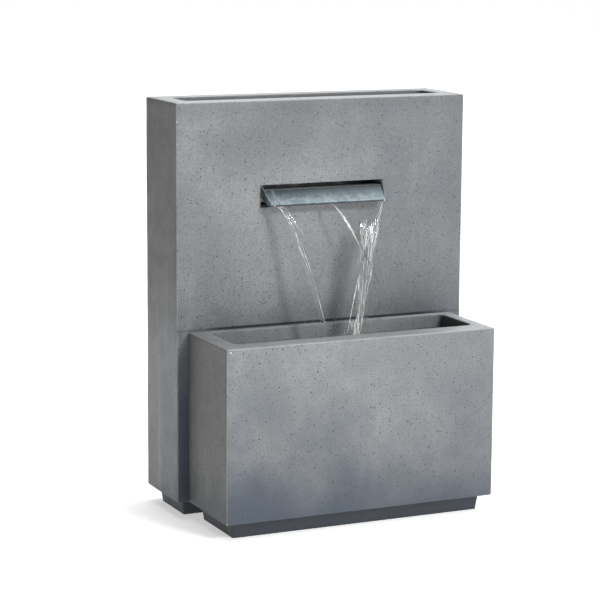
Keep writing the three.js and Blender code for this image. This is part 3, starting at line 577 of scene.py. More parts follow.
def outward(mesh):
    shape = bmesh.new()
    shape.from_mesh(mesh)
    bmesh.ops.recalc_face_normals(shape, faces=shape.faces)
    shape.to_mesh(mesh)
    shape.free()
    return mesh


def carved(mesh, cutters, operation="DIFFERENCE"):
    """The mesh with every cutter taken away from it, added to it or crossed with it."""
    body = linked("body", outward(mesh))
    helpers = [linked("helper", outward(cutter)) for cutter in cutters]
    for helper in helpers:
        change = body.modifiers.new("cut", "BOOLEAN")
        change.operation = operation
        change.object = helper
        change.solver = "EXACT"
    return applied(body, helpers)


def applied(body, helpers=()):
    """The mesh that a body's modifiers make. The body and its helpers are removed."""
    graph = bpy.context.evaluated_depsgraph_get()
    result = bpy.data.meshes.new_from_object(body.evaluated_get(graph), depsgraph=graph)
    for helper in (*helpers, body):
        old = helper.data
        bpy.data.objects.remove(helper)
        bpy.data.meshes.remove(old)
    return result


def bevelled(mesh, width, segments=2, angle=50):
    body = linked("body", mesh)
    change = body.modifiers.new("bevel", "BEVEL")
    change.width = width
    change.segments = segments
    change.limit_method = "ANGLE"
    change.angle_limit = math.radians(angle)
    change.use_clamp_overlap = True
    return applied(body)


# ---- Pieces made from their CAD nodes ----
X, Y, Z = 0, 1, 2
# Each turned piece's axis and how many sides its CAD solid has.
TURNED = {
    "weir_inlet": (Z, 16),
    "weir_inlet_seal": (Z, 16),
    "bulkhead_fitting": (Y, 16),
    "bulkhead_seal": (Y, 16),
    "cable_gland_seal": (Y, 16),
    "cable_grommet": (Y, 16),
    "pump_outlet_nozzle": (Z, 16),
    "pump_cable_gland": (X, 12),
    "pump_rotor_magnet": (X, 16),
    "pump_shaft": (X, 12),
    "pump_front_bush": (X, 12),
    "pump_rear_bush": (X, 12),
    **{f"pump_foot_{i}": (Z, 12) for i in (1, 2, 3, 4)},
    **{f"weir_box_screw_{i}": (Y, 12) for i in (1, 2, 3, 4)},
    **{f"tie_{kind}_{i}": (Y, 12) for kind in ("seal", "washer") for i in (1, 2)},
}


def show(node_name, mesh, smooth_angle=35):
    """Puts a finer mesh in the place of a CAD node, on its body and in its material slot."""
    material = MATERIALS[SLOT_OF[node_name]]
    replace_node(node_name, add_object(f"{node_name}_shown", mesh, material, smooth_angle))


def replace_node(node_name, made):
    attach(made, BODY_OF[node_name])
    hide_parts(node_name)


def middle_of(node_name):
    low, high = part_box(node_name)
    return (Vector(low) + Vector(high)) / 2


def welded(node_name):
    shape = bmesh.new()
    shape.from_mesh(frame["nodes"][node_name].data)
    bmesh.ops.remove_doubles(shape, verts=shape.verts, dist=2e-6)
    return shape


def refined(node_name, bevel, angle=40, segments=2):
    """A CAD node's own shape with its flat faces joined up and its edges rounded off."""
    shape = welded(node_name)
    bmesh.ops.dissolve_limit(shape, angle_limit=math.radians(0.5), verts=shape.verts, edges=shape.edges)
    mesh = bpy.data.meshes.new(node_name)
    shape.to_mesh(mesh)
    shape.free()
    return bevelled(mesh, bevel, segments, angle)


def profile_of(node_name, axis, sides):
    """The outline of a turned CAD piece in a half plane through its axis, as (radius, place along)."""
    shape = welded(node_name)
    half_step = math.pi / sides
    out, sideways = Vector((0, 0, 0)), Vector((0, 0, 0))
    first, second = (axis + 1) % 3, (axis + 2) % 3
    out[first], out[second] = math.cos(half_step), math.sin(half_step)
    sideways[first], sideways[second] = -math.sin(half_step), math.cos(half_step)
    centre = middle_of(node_name)

    def bisect(normal, clear):
        everything = shape.verts[:] + shape.edges[:] + shape.faces[:]
        return bmesh.ops.bisect_plane(
            shape, geom=everything, plane_co=centre, plane_no=normal, clear_inner=clear
        )["geom_cut"]

    bisect(out, True)
    edges = [item for item in bisect(sideways, False) if isinstance(item, bmesh.types.BMEdge)]
    links = {}
    for edge in edges:
        for vertex in edge.verts:
            links.setdefault(vertex, []).append(edge.other_vert(vertex))
    ends = [vertex for vertex, others in links.items() if len(others) == 1]
    chain = [ends[0] if ends else edges[0].verts[0]]
    while True:
        onward = [vertex for vertex in links[chain[-1]] if vertex not in chain]
        if not onward:
            break
        chain.append(onward[0])
    points = [((vertex.co - centre).dot(out) / math.cos(half_step), vertex.co[axis]) for vertex in chain]
    shape.free()
    return corners_only(points, closed=not ends)


def corners_only(points, closed):
    """The points at which an outline turns."""
    kept = []
    for i, here in enumerate(points):
        before, after = Vector(points[i - 1]), Vector(points[(i + 1) % len(points)])
        run = after - before
        off = abs((Vector(here) - before).cross(run)) / max(run.length, 1e-9)
        at_end = not closed and i in (0, len(points) - 1)
        if at_end or off > 4e-6:
            kept.append(here)
    return kept, closed


def lathed(name, axis, centre, profile, closed=False, segments=64):
    """A closed turned body. An open profile starts and ends on the axis."""
    vertices, rings = [], []
    for radius, along in profile:
        on_axis = radius < 1e-6
        ring = []
        for i in range(1 if on_axis else segments):
            angle = i / segments * math.tau
            ring.append(len(vertices))
            vertices.append(ring_point(axis, centre, 0 if on_axis else radius, angle, along))
        rings.append(ring)
    faces = []
    for low, high in zip(rings, rings[1:] + rings[:1] if closed else rings[1:]):
        for i in range(segments):
            j = (i + 1) % segments
            if len(low) == 1:
                faces.append((low[0], high[j], high[i]))
            elif len(high) == 1:
                faces.append((low[i], low[j], high[0]))
            else:
                faces.append((low[i], low[j], high[j], high[i]))
    return outward(mesh_from(name, vertices, faces))


def build_turned():
    for node_name, (axis, sides) in TURNED.items():
        profile, closed = profile_of(node_name, axis, sides)
        mesh = lathed(node_name, axis, middle_of(node_name), profile, closed)
        show(node_name, bevelled(mesh, 0.25 * MM, 2, 30))


def hexagon(name, axis, centre, radius, start, end):
    """A hexagonal bar whose corners lie along the second direction across its axis."""
    vertices = []
    for along in (start, end):
        vertices += [ring_point(axis, centre, radius, (i + 0.5) / 6 * math.tau, along) for i in range(6)]
    sides = tube_faces(6, 1)[:6]
    return mesh_from(name, vertices, [*sides, tuple(range(6)), tuple(range(6, 12))])


# Each nut's axis and the radius of its bore in millimetres.
NUTS = {
    "weir_inlet_nut": (Z, 8.3),
    "bulkhead_nut": (Y, 13.3),
    "cable_gland_nut": (Y, 7.8),
    "tie_nut_1": (Y, 4.3),
    "tie_nut_2": (Y, 4.3),
}


def build_nuts():
    """Hexagonal nuts with rounded-off corners and a round bore."""
    for node_name, (axis, bore) in NUTS.items():
        low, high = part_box(node_name)
        centre = middle_of(node_name)
        start, end = low[axis], high[axis]
        first, second = (axis + 1) % 3, (axis + 2) % 3
        width, height = high[first] - low[first], high[second] - low[second]
        radius = max(width, height) / 2
        bar = hexagon(node_name, axis, centre, radius, start, end)
        if width >= height:
            quarter_turn = Matrix.Rotation(math.pi / 2, 4, "XYZ"[axis])
            bar.transform(Matrix.Translation(centre) @ quarter_turn @ Matrix.Translation(-centre))
        wide, narrow, rise = radius * 1.01, radius * 0.9, radius * 0.06
        lower = [(0, start), (narrow, start), (wide, start + rise)]
        upper = [(wide, end - rise), (narrow, end), (0, end)]
        bar = carved(bar, [lathed("corners", axis, centre, lower + upper)], "INTERSECT")
        hole = rod_mesh(axis, across(centre, axis), bore * MM, start - 5 * MM, end + 5 * MM, 48)
        show(node_name, bevelled(carved(bar, [hole]), 0.25 * MM, 2, 40))


def across(point, axis):
    """The two coordinates of a point that aren't along the axis, in X, Y, Z order."""
    return tuple(value for i, value in enumerate(point) if i != axis)


def build_elbow(node_name, forward, upward):
    """A moulded elbow: a socket that takes the wall fitting, a quarter bend and a ribbed hose tail.

    forward and upward are 1 or -1: the way from its mouth to its arm along Y, and to its tip along Z."""
    low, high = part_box(node_name)
    x = (low[0] + high[0]) / 2
    mouth = low[1] if forward > 0 else high[1]
    arm = mouth + forward * 20 * MM
    z = low[2] + 16.5 * MM if upward > 0 else high[2] - 16.5 * MM

    def along_y(radius, start, end):
        places = (mouth + forward * start * MM, mouth + forward * end * MM)
        return rod_mesh(Y, (x, z), radius * MM, *places, 64)

    def along_z(radius, start, end, end_radius=None):
        places = (z + upward * start * MM, z + upward * end * MM)
        return rod_mesh(Z, (x, arm), radius * MM, *places, 48, end_radius and end_radius * MM)

    tip = high[2] if upward > 0 else low[2]
    bore = rod_mesh(Z, (x, arm), 4.3 * MM, z, tip + upward * 2 * MM, 32)
    additions = [along_y(12, 14, 30), along_z(9, 0, 18), along_z(5.2, 17, 38)]
    additions += [along_z(6, 21 + rib * 5, 24.5 + rib * 5, 5.3) for rib in range(3)]
    body = carved(along_y(16.5, 0, 16), additions, "UNION")
    mesh = carved(body, [along_y(13.6, -2, 14), along_y(8, 13, 23), bore])
    show(node_name, bevelled(mesh, 0.4 * MM, 2, 40))


def build_gland():
    """The cable gland: threaded body, hexagon and a domed cap."""
    low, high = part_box("cable_gland")
    centre = middle_of("cable_gland")
    flange_back = JOINT_Y - 15 * MM - 3 * MM
    flange_front = flange_back - 6 * MM
    body = hexagon("cable_gland", Y, centre, 12 * MM, flange_front, flange_back)
    cap_end = flange_front + 0.5 * MM
    dome = [(0, low[1]), (6.4 * MM, low[1]), (8.4 * MM, low[1] + 1.6 * MM), (9 * MM, low[1] + 4 * MM)]
    cap = lathed("cap", Y, centre, [*dome, (9 * MM, cap_end), (0, cap_end)])
    thread = rod_mesh(Y, across(centre, Y), 7 * MM, flange_back - 1 * MM, high[1], 64)
    root, crest, pitch = 6.9 * MM, 7.5 * MM, 1.5 * MM
    turns = []
    place = flange_back + 1 * MM
    while place < high[1] - 1.2 * MM:
        end = place + 1 * MM
        ridge = [(0, place), (root, place), (crest, place + 0.5 * MM), (root, end), (0, end)]
        turns.append(lathed("turn", Y, centre, ridge))
        place += pitch
    body = carved(body, [cap, thread, *turns], "UNION")
    bore = rod_mesh(Y, across(centre, Y), 3.4 * MM, low[1] - 2 * MM, high[1] + 2 * MM, 40)
    show("cable_gland", bevelled(carved(body, [bore]), 0.3 * MM, 2, 45))


def build_plug():
    """The drain plug: a tapered rubber bung with a flange and a pull ring."""
    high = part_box("drain_plug")[1]
    x, y, _ = middle_of("drain_plug")
    bottom = FLOOR_TOP + 0.3 * MM - 28 * MM
    profile_mm = [(0, 0), (10.5, 0), (12.5, 28), (17, 28), (17, 31), (16, 32), (0, 32)]
    body = lathed("plug", Z, (x, y, 0), [(r * MM, bottom + along * MM) for r, along in profile_mm])
    around, section = 48, 14
    centre_z = high[2] - 8.8 * MM
    vertices, faces = [], []
    for i in range(around):
        turn = i / around * math.tau
        for j in range(section):
            angle = j / section * math.tau
            reach = 7 * MM + 1.8 * MM * math.cos(angle)
            side = y + 1.8 * MM * math.sin(angle)
            vertices.append((x + reach * math.cos(turn), side, centre_z + reach * math.sin(turn)))
            here, there = i * section, (i + 1) % around * section
            following = (j + 1) % section
            faces.append((here + j, here + following, there + following, there + j))
    show("drain_plug", carved(bevelled(body, 0.6 * MM, 2, 30), [mesh_from("ring", vertices, faces)], "UNION"))


def swept(name, places, rings, segments=32):
    """A closed tube with a wall: rings of (outer radius, inner radius) at each place along a path."""
    vertices, faces = [], []
    count = len(places)
    for layer in (0, 1):
        for i, place in enumerate(places):
            ahead = (places[min(i + 1, count - 1)] - places[max(i - 1, 0)]).normalized()
            side = Vector((1, 0, 0))
            side = (side - ahead * side.dot(ahead)).normalized()
            up = ahead.cross(side)
            for j in range(segments):
                angle = j / segments * math.tau
                vertices.append(place + (side * math.cos(angle) + up * math.sin(angle)) * rings[i][layer])
    shell = count * segments
    for i in range(count - 1):
        for j in range(segments):
            a, b = i * segments + j, i * segments + (j + 1) % segments
            faces.append((a, b, b + segments, a + segments))
            faces.append((shell + a, shell + a + segments, shell + b + segments, shell + b))
    for i in (0, (count - 1) * segments):
        for j in range(segments):
            a, b = i + j, i + (j + 1) % segments
            faces.append((a, shell + a, shell + b, b))
    return outward(mesh_from(name, vertices, faces))


def smoother(t):
    t = min(max(t, 0.0), 1.0)
    return t * t * t * (t * (t * 6 - 15) + 10)


def build_hose(node_name, start, end):
    """Corrugated hose on its CAD node's route from (x, y) to (x, y), with plain cuffs under the clamps."""
    low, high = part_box(node_name)
    straight, cuff, pitch = 0.12, 20 * MM, 4.4 * MM
    length = high[2] - low[2]
    steps = round(length / pitch) * 6
    places, rings = [], []
    for i in range(steps + 1):
        t = i / steps
        s = smoother((t - straight) / (1 - 2 * straight))
        x, y = (start[k] + (end[k] - start[k]) * s for k in (0, 1))
        places.append(Vector((x, y, low[2] + length * t)))
        from_end = min(t, 1 - t) * length
        wave = 0.5 + 0.5 * math.cos(i / 6 * math.tau)
        groove = 0.9 * MM * wave if from_end > cuff else 0.0
        rings.append((8.45 * MM - groove, 6.5 * MM))
    show(node_name, swept(node_name, places, rings), 60)


def build_refined():
    """Pieces that keep their CAD shape, with edges rounded as moulded or folded ones have."""
    widths = {
        "spout_chute": 0.45,
        "weir_box": 0.4,
        "weir_box_lid": 0.5,
        "pump_housing": 0.7,
        "pump_strainer_cover": 0.4,
        "pump_chamber_cover": 0.35,
        "pump_cover_seal": 0.1,
        "pump_impeller": 0.3,
        "pump_flow_knob": 0.5,
        "tie_bolt_1": 0.4,
        "tie_bolt_2": 0.4,
    }  # in millimetres
    for hose in ("lower", "upper"):
        for i in (1, 2):
            widths[f"{hose}_clamp_band_{i}"] = 0.25
            widths[f"{hose}_clamp_screw_{i}"] = 0.25
    for node_name, width in widths.items():
        show(node_name, refined(node_name, width * MM))


def build_fittings():
    build_turned()
    build_nuts()
    build_elbow("basin_elbow", -1, -1)
    build_elbow("tower_elbow", 1, 1)
    build_gland()
    build_plug()
    basin_arm = (middle_of("basin_elbow")[0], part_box("basin_elbow")[1][1] - 20 * MM)
    tower_arm = (middle_of("tower_elbow")[0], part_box("tower_elbow")[0][1] + 20 * MM)
    build_hose("lower_hose", middle_of("pump_outlet_nozzle"), basin_arm)
    build_hose("upper_hose", tower_arm, middle_of("weir_inlet"))
    build_refined()


# ---- Water ----
THROW = 60 * MM  # how far forward the water lands from the lip


def falling(share):
    """Depth and height of falling water at a share of its time in the air, 0 at the lip and 1 at the pool."""
    lip = SPOUT_LOW[1] + 1.2 * MM
    start = SPOUT_LOW[2] + 4.6 * MM
    return lip - THROW * share, start + (WATER_LEVEL - start) * share * share


def pulled_in(start, end, power):
    """A sideways place that starts at the lip and is drawn towards the middle while it falls."""
    return lambda share: start + (end - start) * share**power


def ribbon(left, right, thickness, begin, end, lobes, seed, steps=150, around=56):
    """A closed band of falling water with upright ridges that wander as it falls."""
    vertices = []
    for i in range(steps + 1):
        share = begin + (end - begin) * i / steps
        y, z = falling(share)
        x0, x1 = left(share), right(share)
        closing = min(1.0, 6 * (1 - i / steps) + 0.25) * min(1.0, 0.35 + i / steps * 8)
        for j in range(around):
            angle = j / around * math.tau
            out, up = math.cos(angle), math.sin(angle)
            rough = noise.noise(Vector((out * lobes, up * lobes * 0.5 + seed, share * 9)))
            beads = noise.noise(Vector((angle * 1.3, seed * 3.1, share * 46)))
            depth = thickness * (0.55 + 0.9 * abs(rough) + 0.35 * beads) * closing
            ragged = noise.noise(Vector((share * 14, seed, math.copysign(3, out))))
            edge = (x1 - x0) / 2 * (1 + 0.22 * ragged)
            vertices.append(((x0 + x1) / 2 + edge * out, y + depth * up, z))
    return vertices, tube_faces(around, steps)


def strand(vertices, faces, place, begin, end, radius, chance, steps=70, around=8):
    """Adds one thread of water that swells and thins into beads. place(share) gives its middle."""
    faces += tube_faces(around, steps, len(vertices))
    phase = chance.uniform(0, 50)
    for i in range(steps + 1):
        t = i / steps
        share = begin + (end - begin) * t
        x, y, z = place(share)
        taper = math.sin(math.pi * min(max(t, 0.02), 0.98)) ** 0.5
        swell = 0.55 + 0.75 * max(0.0, noise.noise(Vector((share * 30 + phase, phase, 0)))) * 2
        size = radius * taper * swell
        for j in range(around):
            angle = j / around * math.tau
            vertices.append((x + size * math.cos(angle), y + size * 0.7 * math.sin(angle), z))


def threads(left, right, begin, end, count, radius, seed, length):
    """Many short bright threads between a stream's edges, over the share of the fall from begin to end."""
    chance = random.Random(SEED * 100 + seed)
    vertices, faces = [], []
    for _ in range(count):
        at = chance.uniform(0.04, 0.96)
        start = chance.uniform(begin, end - 0.06)
        stop = min(end, start + chance.uniform(0.25, 1.0) * length)
        wander = chance.uniform(0, 90)
        lean = chance.uniform(-0.12, 0.12)
        ahead = chance.uniform(-1, 1) * 1.5 * MM

        def place(share, at=at, wander=wander, lean=lean, start=start, ahead=ahead):
            y, z = falling(share)
            x0, x1 = left(share), right(share)
            sway = 0.06 * noise.noise(Vector((share * 12, wander, 2)))
            spot = min(max(at + lean * (share - start) * 4 + sway, 0), 1)
            return Vector((x0 + (x1 - x0) * spot, y + ahead, z))

        strand(vertices, faces, place, start, stop, radius * chance.uniform(0.45, 1.25), chance)
    return vertices, faces


def drop(vertices, faces, centre, size, stretch, chance, rings=8, around=12):
    """Adds one drop, taller than wide by its stretch and leaning a little."""
    faces += tube_faces(around, rings - 2, len(vertices))
    lean = Vector((chance.uniform(-0.3, 0.3), chance.uniform(-0.3, 0.3), 0))
    for i in range(1, rings):
        polar = math.pi * i / rings
        pinch = math.sin(polar) * (1 + 0.25 * math.cos(polar))
        for j in range(around):
            angle = j / around * math.tau
            offset = Vector((math.cos(angle) * pinch, math.sin(angle) * pinch, -math.cos(polar) * stretch))
            vertices.append(centre + (offset + lean * offset.z) * size)


def within(stream, part):
    """A sideways place at a share of a stream's width, from its left edge to its right edge."""
    left, right = stream
    return lambda share: left(share) + (right(share) - left(share)) * part


# The left and right edge of each stream.
LEFT_STREAM = (pulled_in(-115 * MM, -33 * MM, 1.45), pulled_in(-104 * MM, -24 * MM, 1.42))
LEFT_FRINGE = (pulled_in(-107 * MM, 3 * MM, 1.5), pulled_in(-100 * MM, 11 * MM, 1.5))
MIDDLE_STREAM = (pulled_in(-4 * MM, 120 * MM, 1.6), pulled_in(1.5 * MM, 125 * MM, 1.6))
RIGHT_STREAM = (pulled_in(66 * MM, 24 * MM, 1.23), pulled_in(114.5 * MM, 42 * MM, 1.35))
RIGHT_EDGE = (pulled_in(106 * MM, 33 * MM, 1.2), pulled_in(115 * MM, 39 * MM, 1.25))
# The broad stream's ribbons: from and to which share of its width, and the share of the fall where it starts.
RIGHT_PARTS = ((0.0, 0.3, 0.37), (0.22, 0.52, 0.43), (0.46, 0.78, 0.41), (0.7, 1.0, 0.35))
LEFT_LANDING, RIGHT_LANDING = -30 * MM, 25 * MM
# Bright threads: name, stream, share of the fall from and to, how many, radius in millimetres and length.
THREAD_RUNS = (
    ("left_threads", LEFT_STREAM, 0.04, 0.99, 22, 0.5, 0.2),
    ("fringe_threads", LEFT_FRINGE, 0.05, 0.52, 6, 0.45, 0.16),
    ("middle_threads", MIDDLE_STREAM, 0.02, 0.6, 6, 0.8, 0.4),
    ("middle_swell", MIDDLE_STREAM, 0.3, 0.46, 3, 2.1, 0.16),
    ("right_threads", RIGHT_STREAM, 0.4, 0.98, 84, 0.66, 0.15),
    ("break_threads", RIGHT_STREAM, 0.35, 0.58, 24, 1.0, 0.14),
    ("edge_threads", RIGHT_EDGE, 0.03, 0.6, 9, 0.42, 0.25),
)


def pour(name, vertices, faces, material):
    """Adds a body of water, which stays with the castings."""
    made = add_object(name, outward(mesh_from(name, vertices, faces)), material, 70)
    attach(made, "root")


def build_streams():
    clear = water_material("falling_water", 1.0, 0.01)
    # white threads: partly aerated water, partly painted highlights for the glints on the falling streams
    white = water_material("aerated_water_and_highlights", 0.05, 0.25)
    pour("left_stream", *ribbon(*LEFT_STREAM, 1.2 * MM, 0.02, 0.995, 3, 1.0), clear)
    pour("left_fringe", *ribbon(*LEFT_FRINGE, 0.6 * MM, 0.03, 0.5, 2, 5.0, 70, 32), clear)
    pour("middle_stream", *ribbon(*MIDDLE_STREAM, 1.1 * MM, 0.02, 0.6, 2, 9.0, 90, 32), clear)
    for i, (start, end, begin) in enumerate(RIGHT_PARTS):
        edges = (within(RIGHT_STREAM, start), within(RIGHT_STREAM, end))
        pour(f"right_stream_{i + 1}", *ribbon(*edges, 1.3 * MM, begin, 0.995, 4, 14.0 + i, 190, 40), clear)
    for seed, (name, edges, begin, end, count, radius, length) in enumerate(THREAD_RUNS):
        pour(name, *threads(*edges, begin, end, count, radius * MM, seed + 1, length), white)
    build_single_strands(white)


def build_single_strands(white):
    """A bright thread thrown off to the broad stream's left, and the middle one's shaded tail across it."""
    chance = random.Random(SEED + 5)
    shaded = water_material("shaded_water", 0.0, 0.3, (0.08, 0.09, 0.1))

    def thrown(share):
        return 38 * MM - 27 * MM * (share - 0.74) / 0.22

    runs = (
        ("thrown_thread", thrown, 0.72, 0.965, 1.0 * MM, 1 * MM, white),
        ("middle_tail", within(MIDDLE_STREAM, 0.5), 0.46, 0.76, 1.7 * MM, 6 * MM, shaded),
    )
    for name, sideways, begin, end, radius, ahead, material in runs:
        vertices, faces = [], []

        def place(share, sideways=sideways, ahead=ahead):
            y, z = falling(share)
            return Vector((sideways(share), y - ahead, z))

        strand(vertices, faces, place, begin, end, radius, chance)
        pour(name, vertices, faces, material)


def build_drops():
    """Beads at the lip's corners, splash round the two landings and stray drops near the wall."""
    chance = random.Random(SEED)
    vertices, faces = [], []
    lip_y, lip_z = falling(0.0)
    landing_y = falling(0.97)[0]
    for x, size in ((-115, 1.9), (-112, 1.2), (114.5, 1.8), (112, 1.1)):
        drop(vertices, faces, Vector((x * MM, lip_y, lip_z + 0.6 * MM)), size * MM, 1.5, chance)
    for middle, count in ((LEFT_LANDING, 18), (RIGHT_LANDING, 30)):
        for _ in range(count):
            angle, reach = chance.uniform(0, math.tau), chance.uniform(2, 24) * MM
            place = Vector((middle + reach * math.cos(angle), landing_y + reach * 0.7 * math.sin(angle), 0))
            place.z = WATER_LEVEL + chance.uniform(4, 38) * MM * (1 - reach / (40 * MM))
            drop(vertices, faces, place, chance.uniform(0.4, 1.1) * MM, chance.uniform(0.9, 1.8), chance)
    for _ in range(60):
        place = Vector([chance.uniform(*span) * MM for span in ((-70, 100), (-60, -12), (338, 372))])
        drop(vertices, faces, place, chance.uniform(0.3, 0.75) * MM, chance.uniform(0.9, 1.4), chance)
    for _ in range(26):
        y, z = falling(chance.uniform(0.72, 0.97))
        place = Vector((chance.uniform(-110, 95) * MM, y + chance.uniform(-15, 40) * MM, z))
        drop(vertices, faces, place, chance.uniform(0.35, 0.8) * MM, chance.uniform(1.0, 1.7), chance)
    pour("drops", vertices, faces, water_material("drops", 0.5, 0.03))


def build_splash():
    """The crown thrown up where the broad stream lands: short arcs of water leaning out from its foot."""
    chance = random.Random(SEED + 3)
    vertices, faces = [], []
    landing_y = falling(1.0)[0]
    for i in range(30):
        turn = i / 30 * math.tau + chance.uniform(-0.2, 0.2)
        out, rise = chance.uniform(1, 7) * MM, chance.uniform(20, 44) * MM
        foot_x, foot_y = RIGHT_LANDING + 5 * MM * math.cos(turn), landing_y + 4 * MM * math.sin(turn)
        foot = Vector((foot_x, foot_y, WATER_LEVEL))

        def place(share, foot=foot, turn=turn, out=out, rise=rise):
            bend = math.sin(share * math.pi * 0.62)
            away = Vector((math.cos(turn) * out * share, math.sin(turn) * out * 0.7 * share, rise * bend))
            return foot + away

        strand(vertices, faces, place, 0.0, 1.0, chance.uniform(0.6, 1.2) * MM, chance, 24)
    for side in (-1, 1):

        def leg(share, side=side):
            out = 8 * MM * (1 - share) ** 0.8
            return Vector((RIGHT_LANDING + side * out, landing_y - 6 * MM, WATER_LEVEL + 45 * MM * share))

        strand(vertices, faces, leg, 0.0, 1.0, 2.0 * MM, chance, 30)
    pour("splash", vertices, faces, water_material("splash", 0.15, 0.15))


def build_pool():
    """The water in the basin: a sheet that fills the mouth, rippled by the streams that land in it."""
    x0, x1 = BASIN_LOW[0] + BASIN_RIM["left"], BASIN_HIGH[0] - BASIN_RIM["right"]
    y0, y1 = BASIN_LOW[1] + BASIN_RIM["front"], JOINT_Y - BASIN_RIM["back"]
    columns, rows = 250, 64
    landing_y = falling(1.0)[0]
    low_x, high_x, low_y, high_y = shrunk((x0, x1, y0, y1), INNER_RADIUS)

    def kept(x, y):
        """The point itself, or the nearest one inside the mouth's round corners."""
        inside = Vector((min(max(x, low_x), high_x), min(max(y, low_y), high_y)))
        off = Vector((x, y)) - inside
        if off.length > INNER_RADIUS:
            off *= INNER_RADIUS / off.length
        return inside + off

    def surface(x, y):
        height = 0.15 * MM * noise.noise(Vector((x * 38, y * 55, 3)))
        for middle, strength in ((LEFT_LANDING, 0.4 * MM), (RIGHT_LANDING, 0.7 * MM)):
            away = math.hypot(x - middle, y - landing_y)
            height += strength * math.exp(-away / (70 * MM)) * math.cos(away / (13 * MM) * math.tau)
        return WATER_LEVEL + height

    top = []
    for row in range(rows + 1):
        for column in range(columns + 1):
            place = kept(x0 + (x1 - x0) * column / columns, y0 + (y1 - y0) * row / rows)
            top.append((place.x, place.y, surface(place.x, place.y)))
    across_count = columns + 1
    vertices = top + [(x, y, WATER_LEVEL - 8 * MM) for x, y, _ in top]
    lower = len(top)
    faces = []
    for row in range(rows):
        for column in range(columns):
            a = row * across_count + column
            b, c, d = a + 1, a + across_count + 1, a + across_count
            faces.append((a, b, c, d))
            faces.append((lower + a, lower + d, lower + c, lower + b))
    border = list(range(across_count))
    border += [row * across_count + columns for row in range(1, rows + 1)]
    border += [rows * across_count + column for column in reversed(range(columns))]
    border += [row * across_count for row in reversed(range(1, rows))]
    for here, there in zip(border, border[1:] + border[:1]):
        faces.append((here, lower + here, lower + there, there))
    pour("pool", vertices, faces, water_material("still_water", 1.0, 0.0))


# ---- Castings ----
def wall_holes():
    """Cutters for the fittings that pass through the wall that the two castings share."""
    radii = {"bulkhead_fitting": 14, "cable_gland": 8, "tie_bolt_1": 4.5, "tie_bolt_2": 4.5}
    start, end = JOINT_Y - 40 * MM, JOINT_Y + 40 * MM
    return [rod_mesh(Y, box_middle(name, Y), radius * MM, start, end) for name, radius in radii.items()]


def box_middle(node_name, axis):
    """The middle of a CAD piece, as its two coordinates across an axis."""
    low, high = (across(point, axis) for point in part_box(node_name))
    return (low[0] + high[0]) / 2, (low[1] + high[1]) / 2


def build_tower():
    x0, x1, y1 = TOWER_LOW[0], TOWER_HIGH[0], TOWER_HIGH[1]
    wall, rim = TOWER_WALL, TOWER_RIM
    outer = (x0, x1, TOWER_LOW[1], y1)
    inner = (x0 + wall["side"], x1 - wall["side"], JOINT_Y + wall["front"], y1 - wall["back"])
    mouth = (x0 + rim["left"], x1 - rim["right"], JOINT_Y + rim["front"], y1 - rim["back"])
    slot_low = (SLOT["left"], JOINT_Y - 20 * MM, SLOT["bottom"])
    slot_high = (SLOT["right"], JOINT_Y + 40 * MM, SLOT["top"])
    weep = rod_mesh(Z, (-185 * MM, JOINT_Y + 77.5 * MM), 8 * MM, -10 * MM, 70 * MM)
    cable = rod_mesh(Y, box_middle("cable_grommet", Y), 11 * MM, y1 - 40 * MM, y1 + 20 * MM)
    cutters = [box_mesh(slot_low, slot_high), weep, cable, *wall_holes()]
    shell = cast_shell(outer, inner, mouth, TOWER_HIGH[2], TOWER_RIM_HEIGHT)
    stone = cast_stone("cast_tower", TOWER_LOW, TOWER_HIGH, TOWER_LOOK)
    show_casting("tower_shell", "tower_casing", shell, cutters, outer, stone)


def build_basin():
    x0, x1, y0 = BASIN_LOW[0], BASIN_HIGH[0], BASIN_LOW[1]
    wall, rim = BASIN_WALL, BASIN_RIM
    outer = (x0, x1, y0, BASIN_HIGH[1])
    inner = (x0 + wall["side"], x1 - wall["side"], y0 + wall["front"], JOINT_Y - wall["back"])
    mouth = (x0 + rim["left"], x1 - rim["right"], y0 + rim["front"], JOINT_Y - rim["back"])
    centre = box_middle("drain_plug", Z)
    seat_low, seat_high, narrow = DRAIN_SEAT["low"], 70 * MM, DRAIN_SEAT["narrow"]
    wide = narrow + (seat_high - seat_low) * DRAIN_SEAT["slope"]
    drain = rod_mesh(Z, centre, narrow, -10 * MM, seat_low + 1 * MM, 64)
    seat = rod_mesh(Z, centre, narrow, seat_low, seat_high, 64, wide)
    shell = cast_shell(outer, inner, mouth, BASIN_HIGH[2], BASIN_RIM_HEIGHT)
    no_back_edge = Vector((0, 1, 0))  # the back edge against the tower doesn't wear
    stone = cast_stone("cast_basin", BASIN_LOW, BASIN_HIGH + no_back_edge, BASIN_LOOK)
    show_casting("basin_shell", "basin_casing", shell, [drain, seat, *wall_holes()], outer, stone)


def show_casting(name, node_name, shell, cutters, outer, stone):
    mesh = carved(mesh_from(name, *shell), cutters)
    mesh = bevelled(mesh, 1.2 * MM, 2, 60)
    finish_casting(mesh, outer)
    replace_node(node_name, add_object(name, mesh, stone, 40))


def finish_casting(mesh, outer):
    """Makes the outer faces slightly uneven, inside the casting's box. The hollow and its seats stay true."""
    x0, x1, y0, y1 = outer
    for vertex in mesh.vertices:
        x, y, _ = vertex.co
        if min(x - x0, x1 - x, y - y0, y1 - y) > SKIN:
            continue
        place = uneven(vertex.co, 0.7 * MM)
        near_joint = abs(vertex.co.y - JOINT_Y) < 2 * MM
        vertex.co.x = min(max(place.x, x0), x1)
        vertex.co.y = vertex.co.y if near_joint else min(max(place.y, y0), y1)
        vertex.co.z = vertex.co.z if vertex.co.z < 2 * MM else min(place.z, vertex.co.z)
    mesh.update()


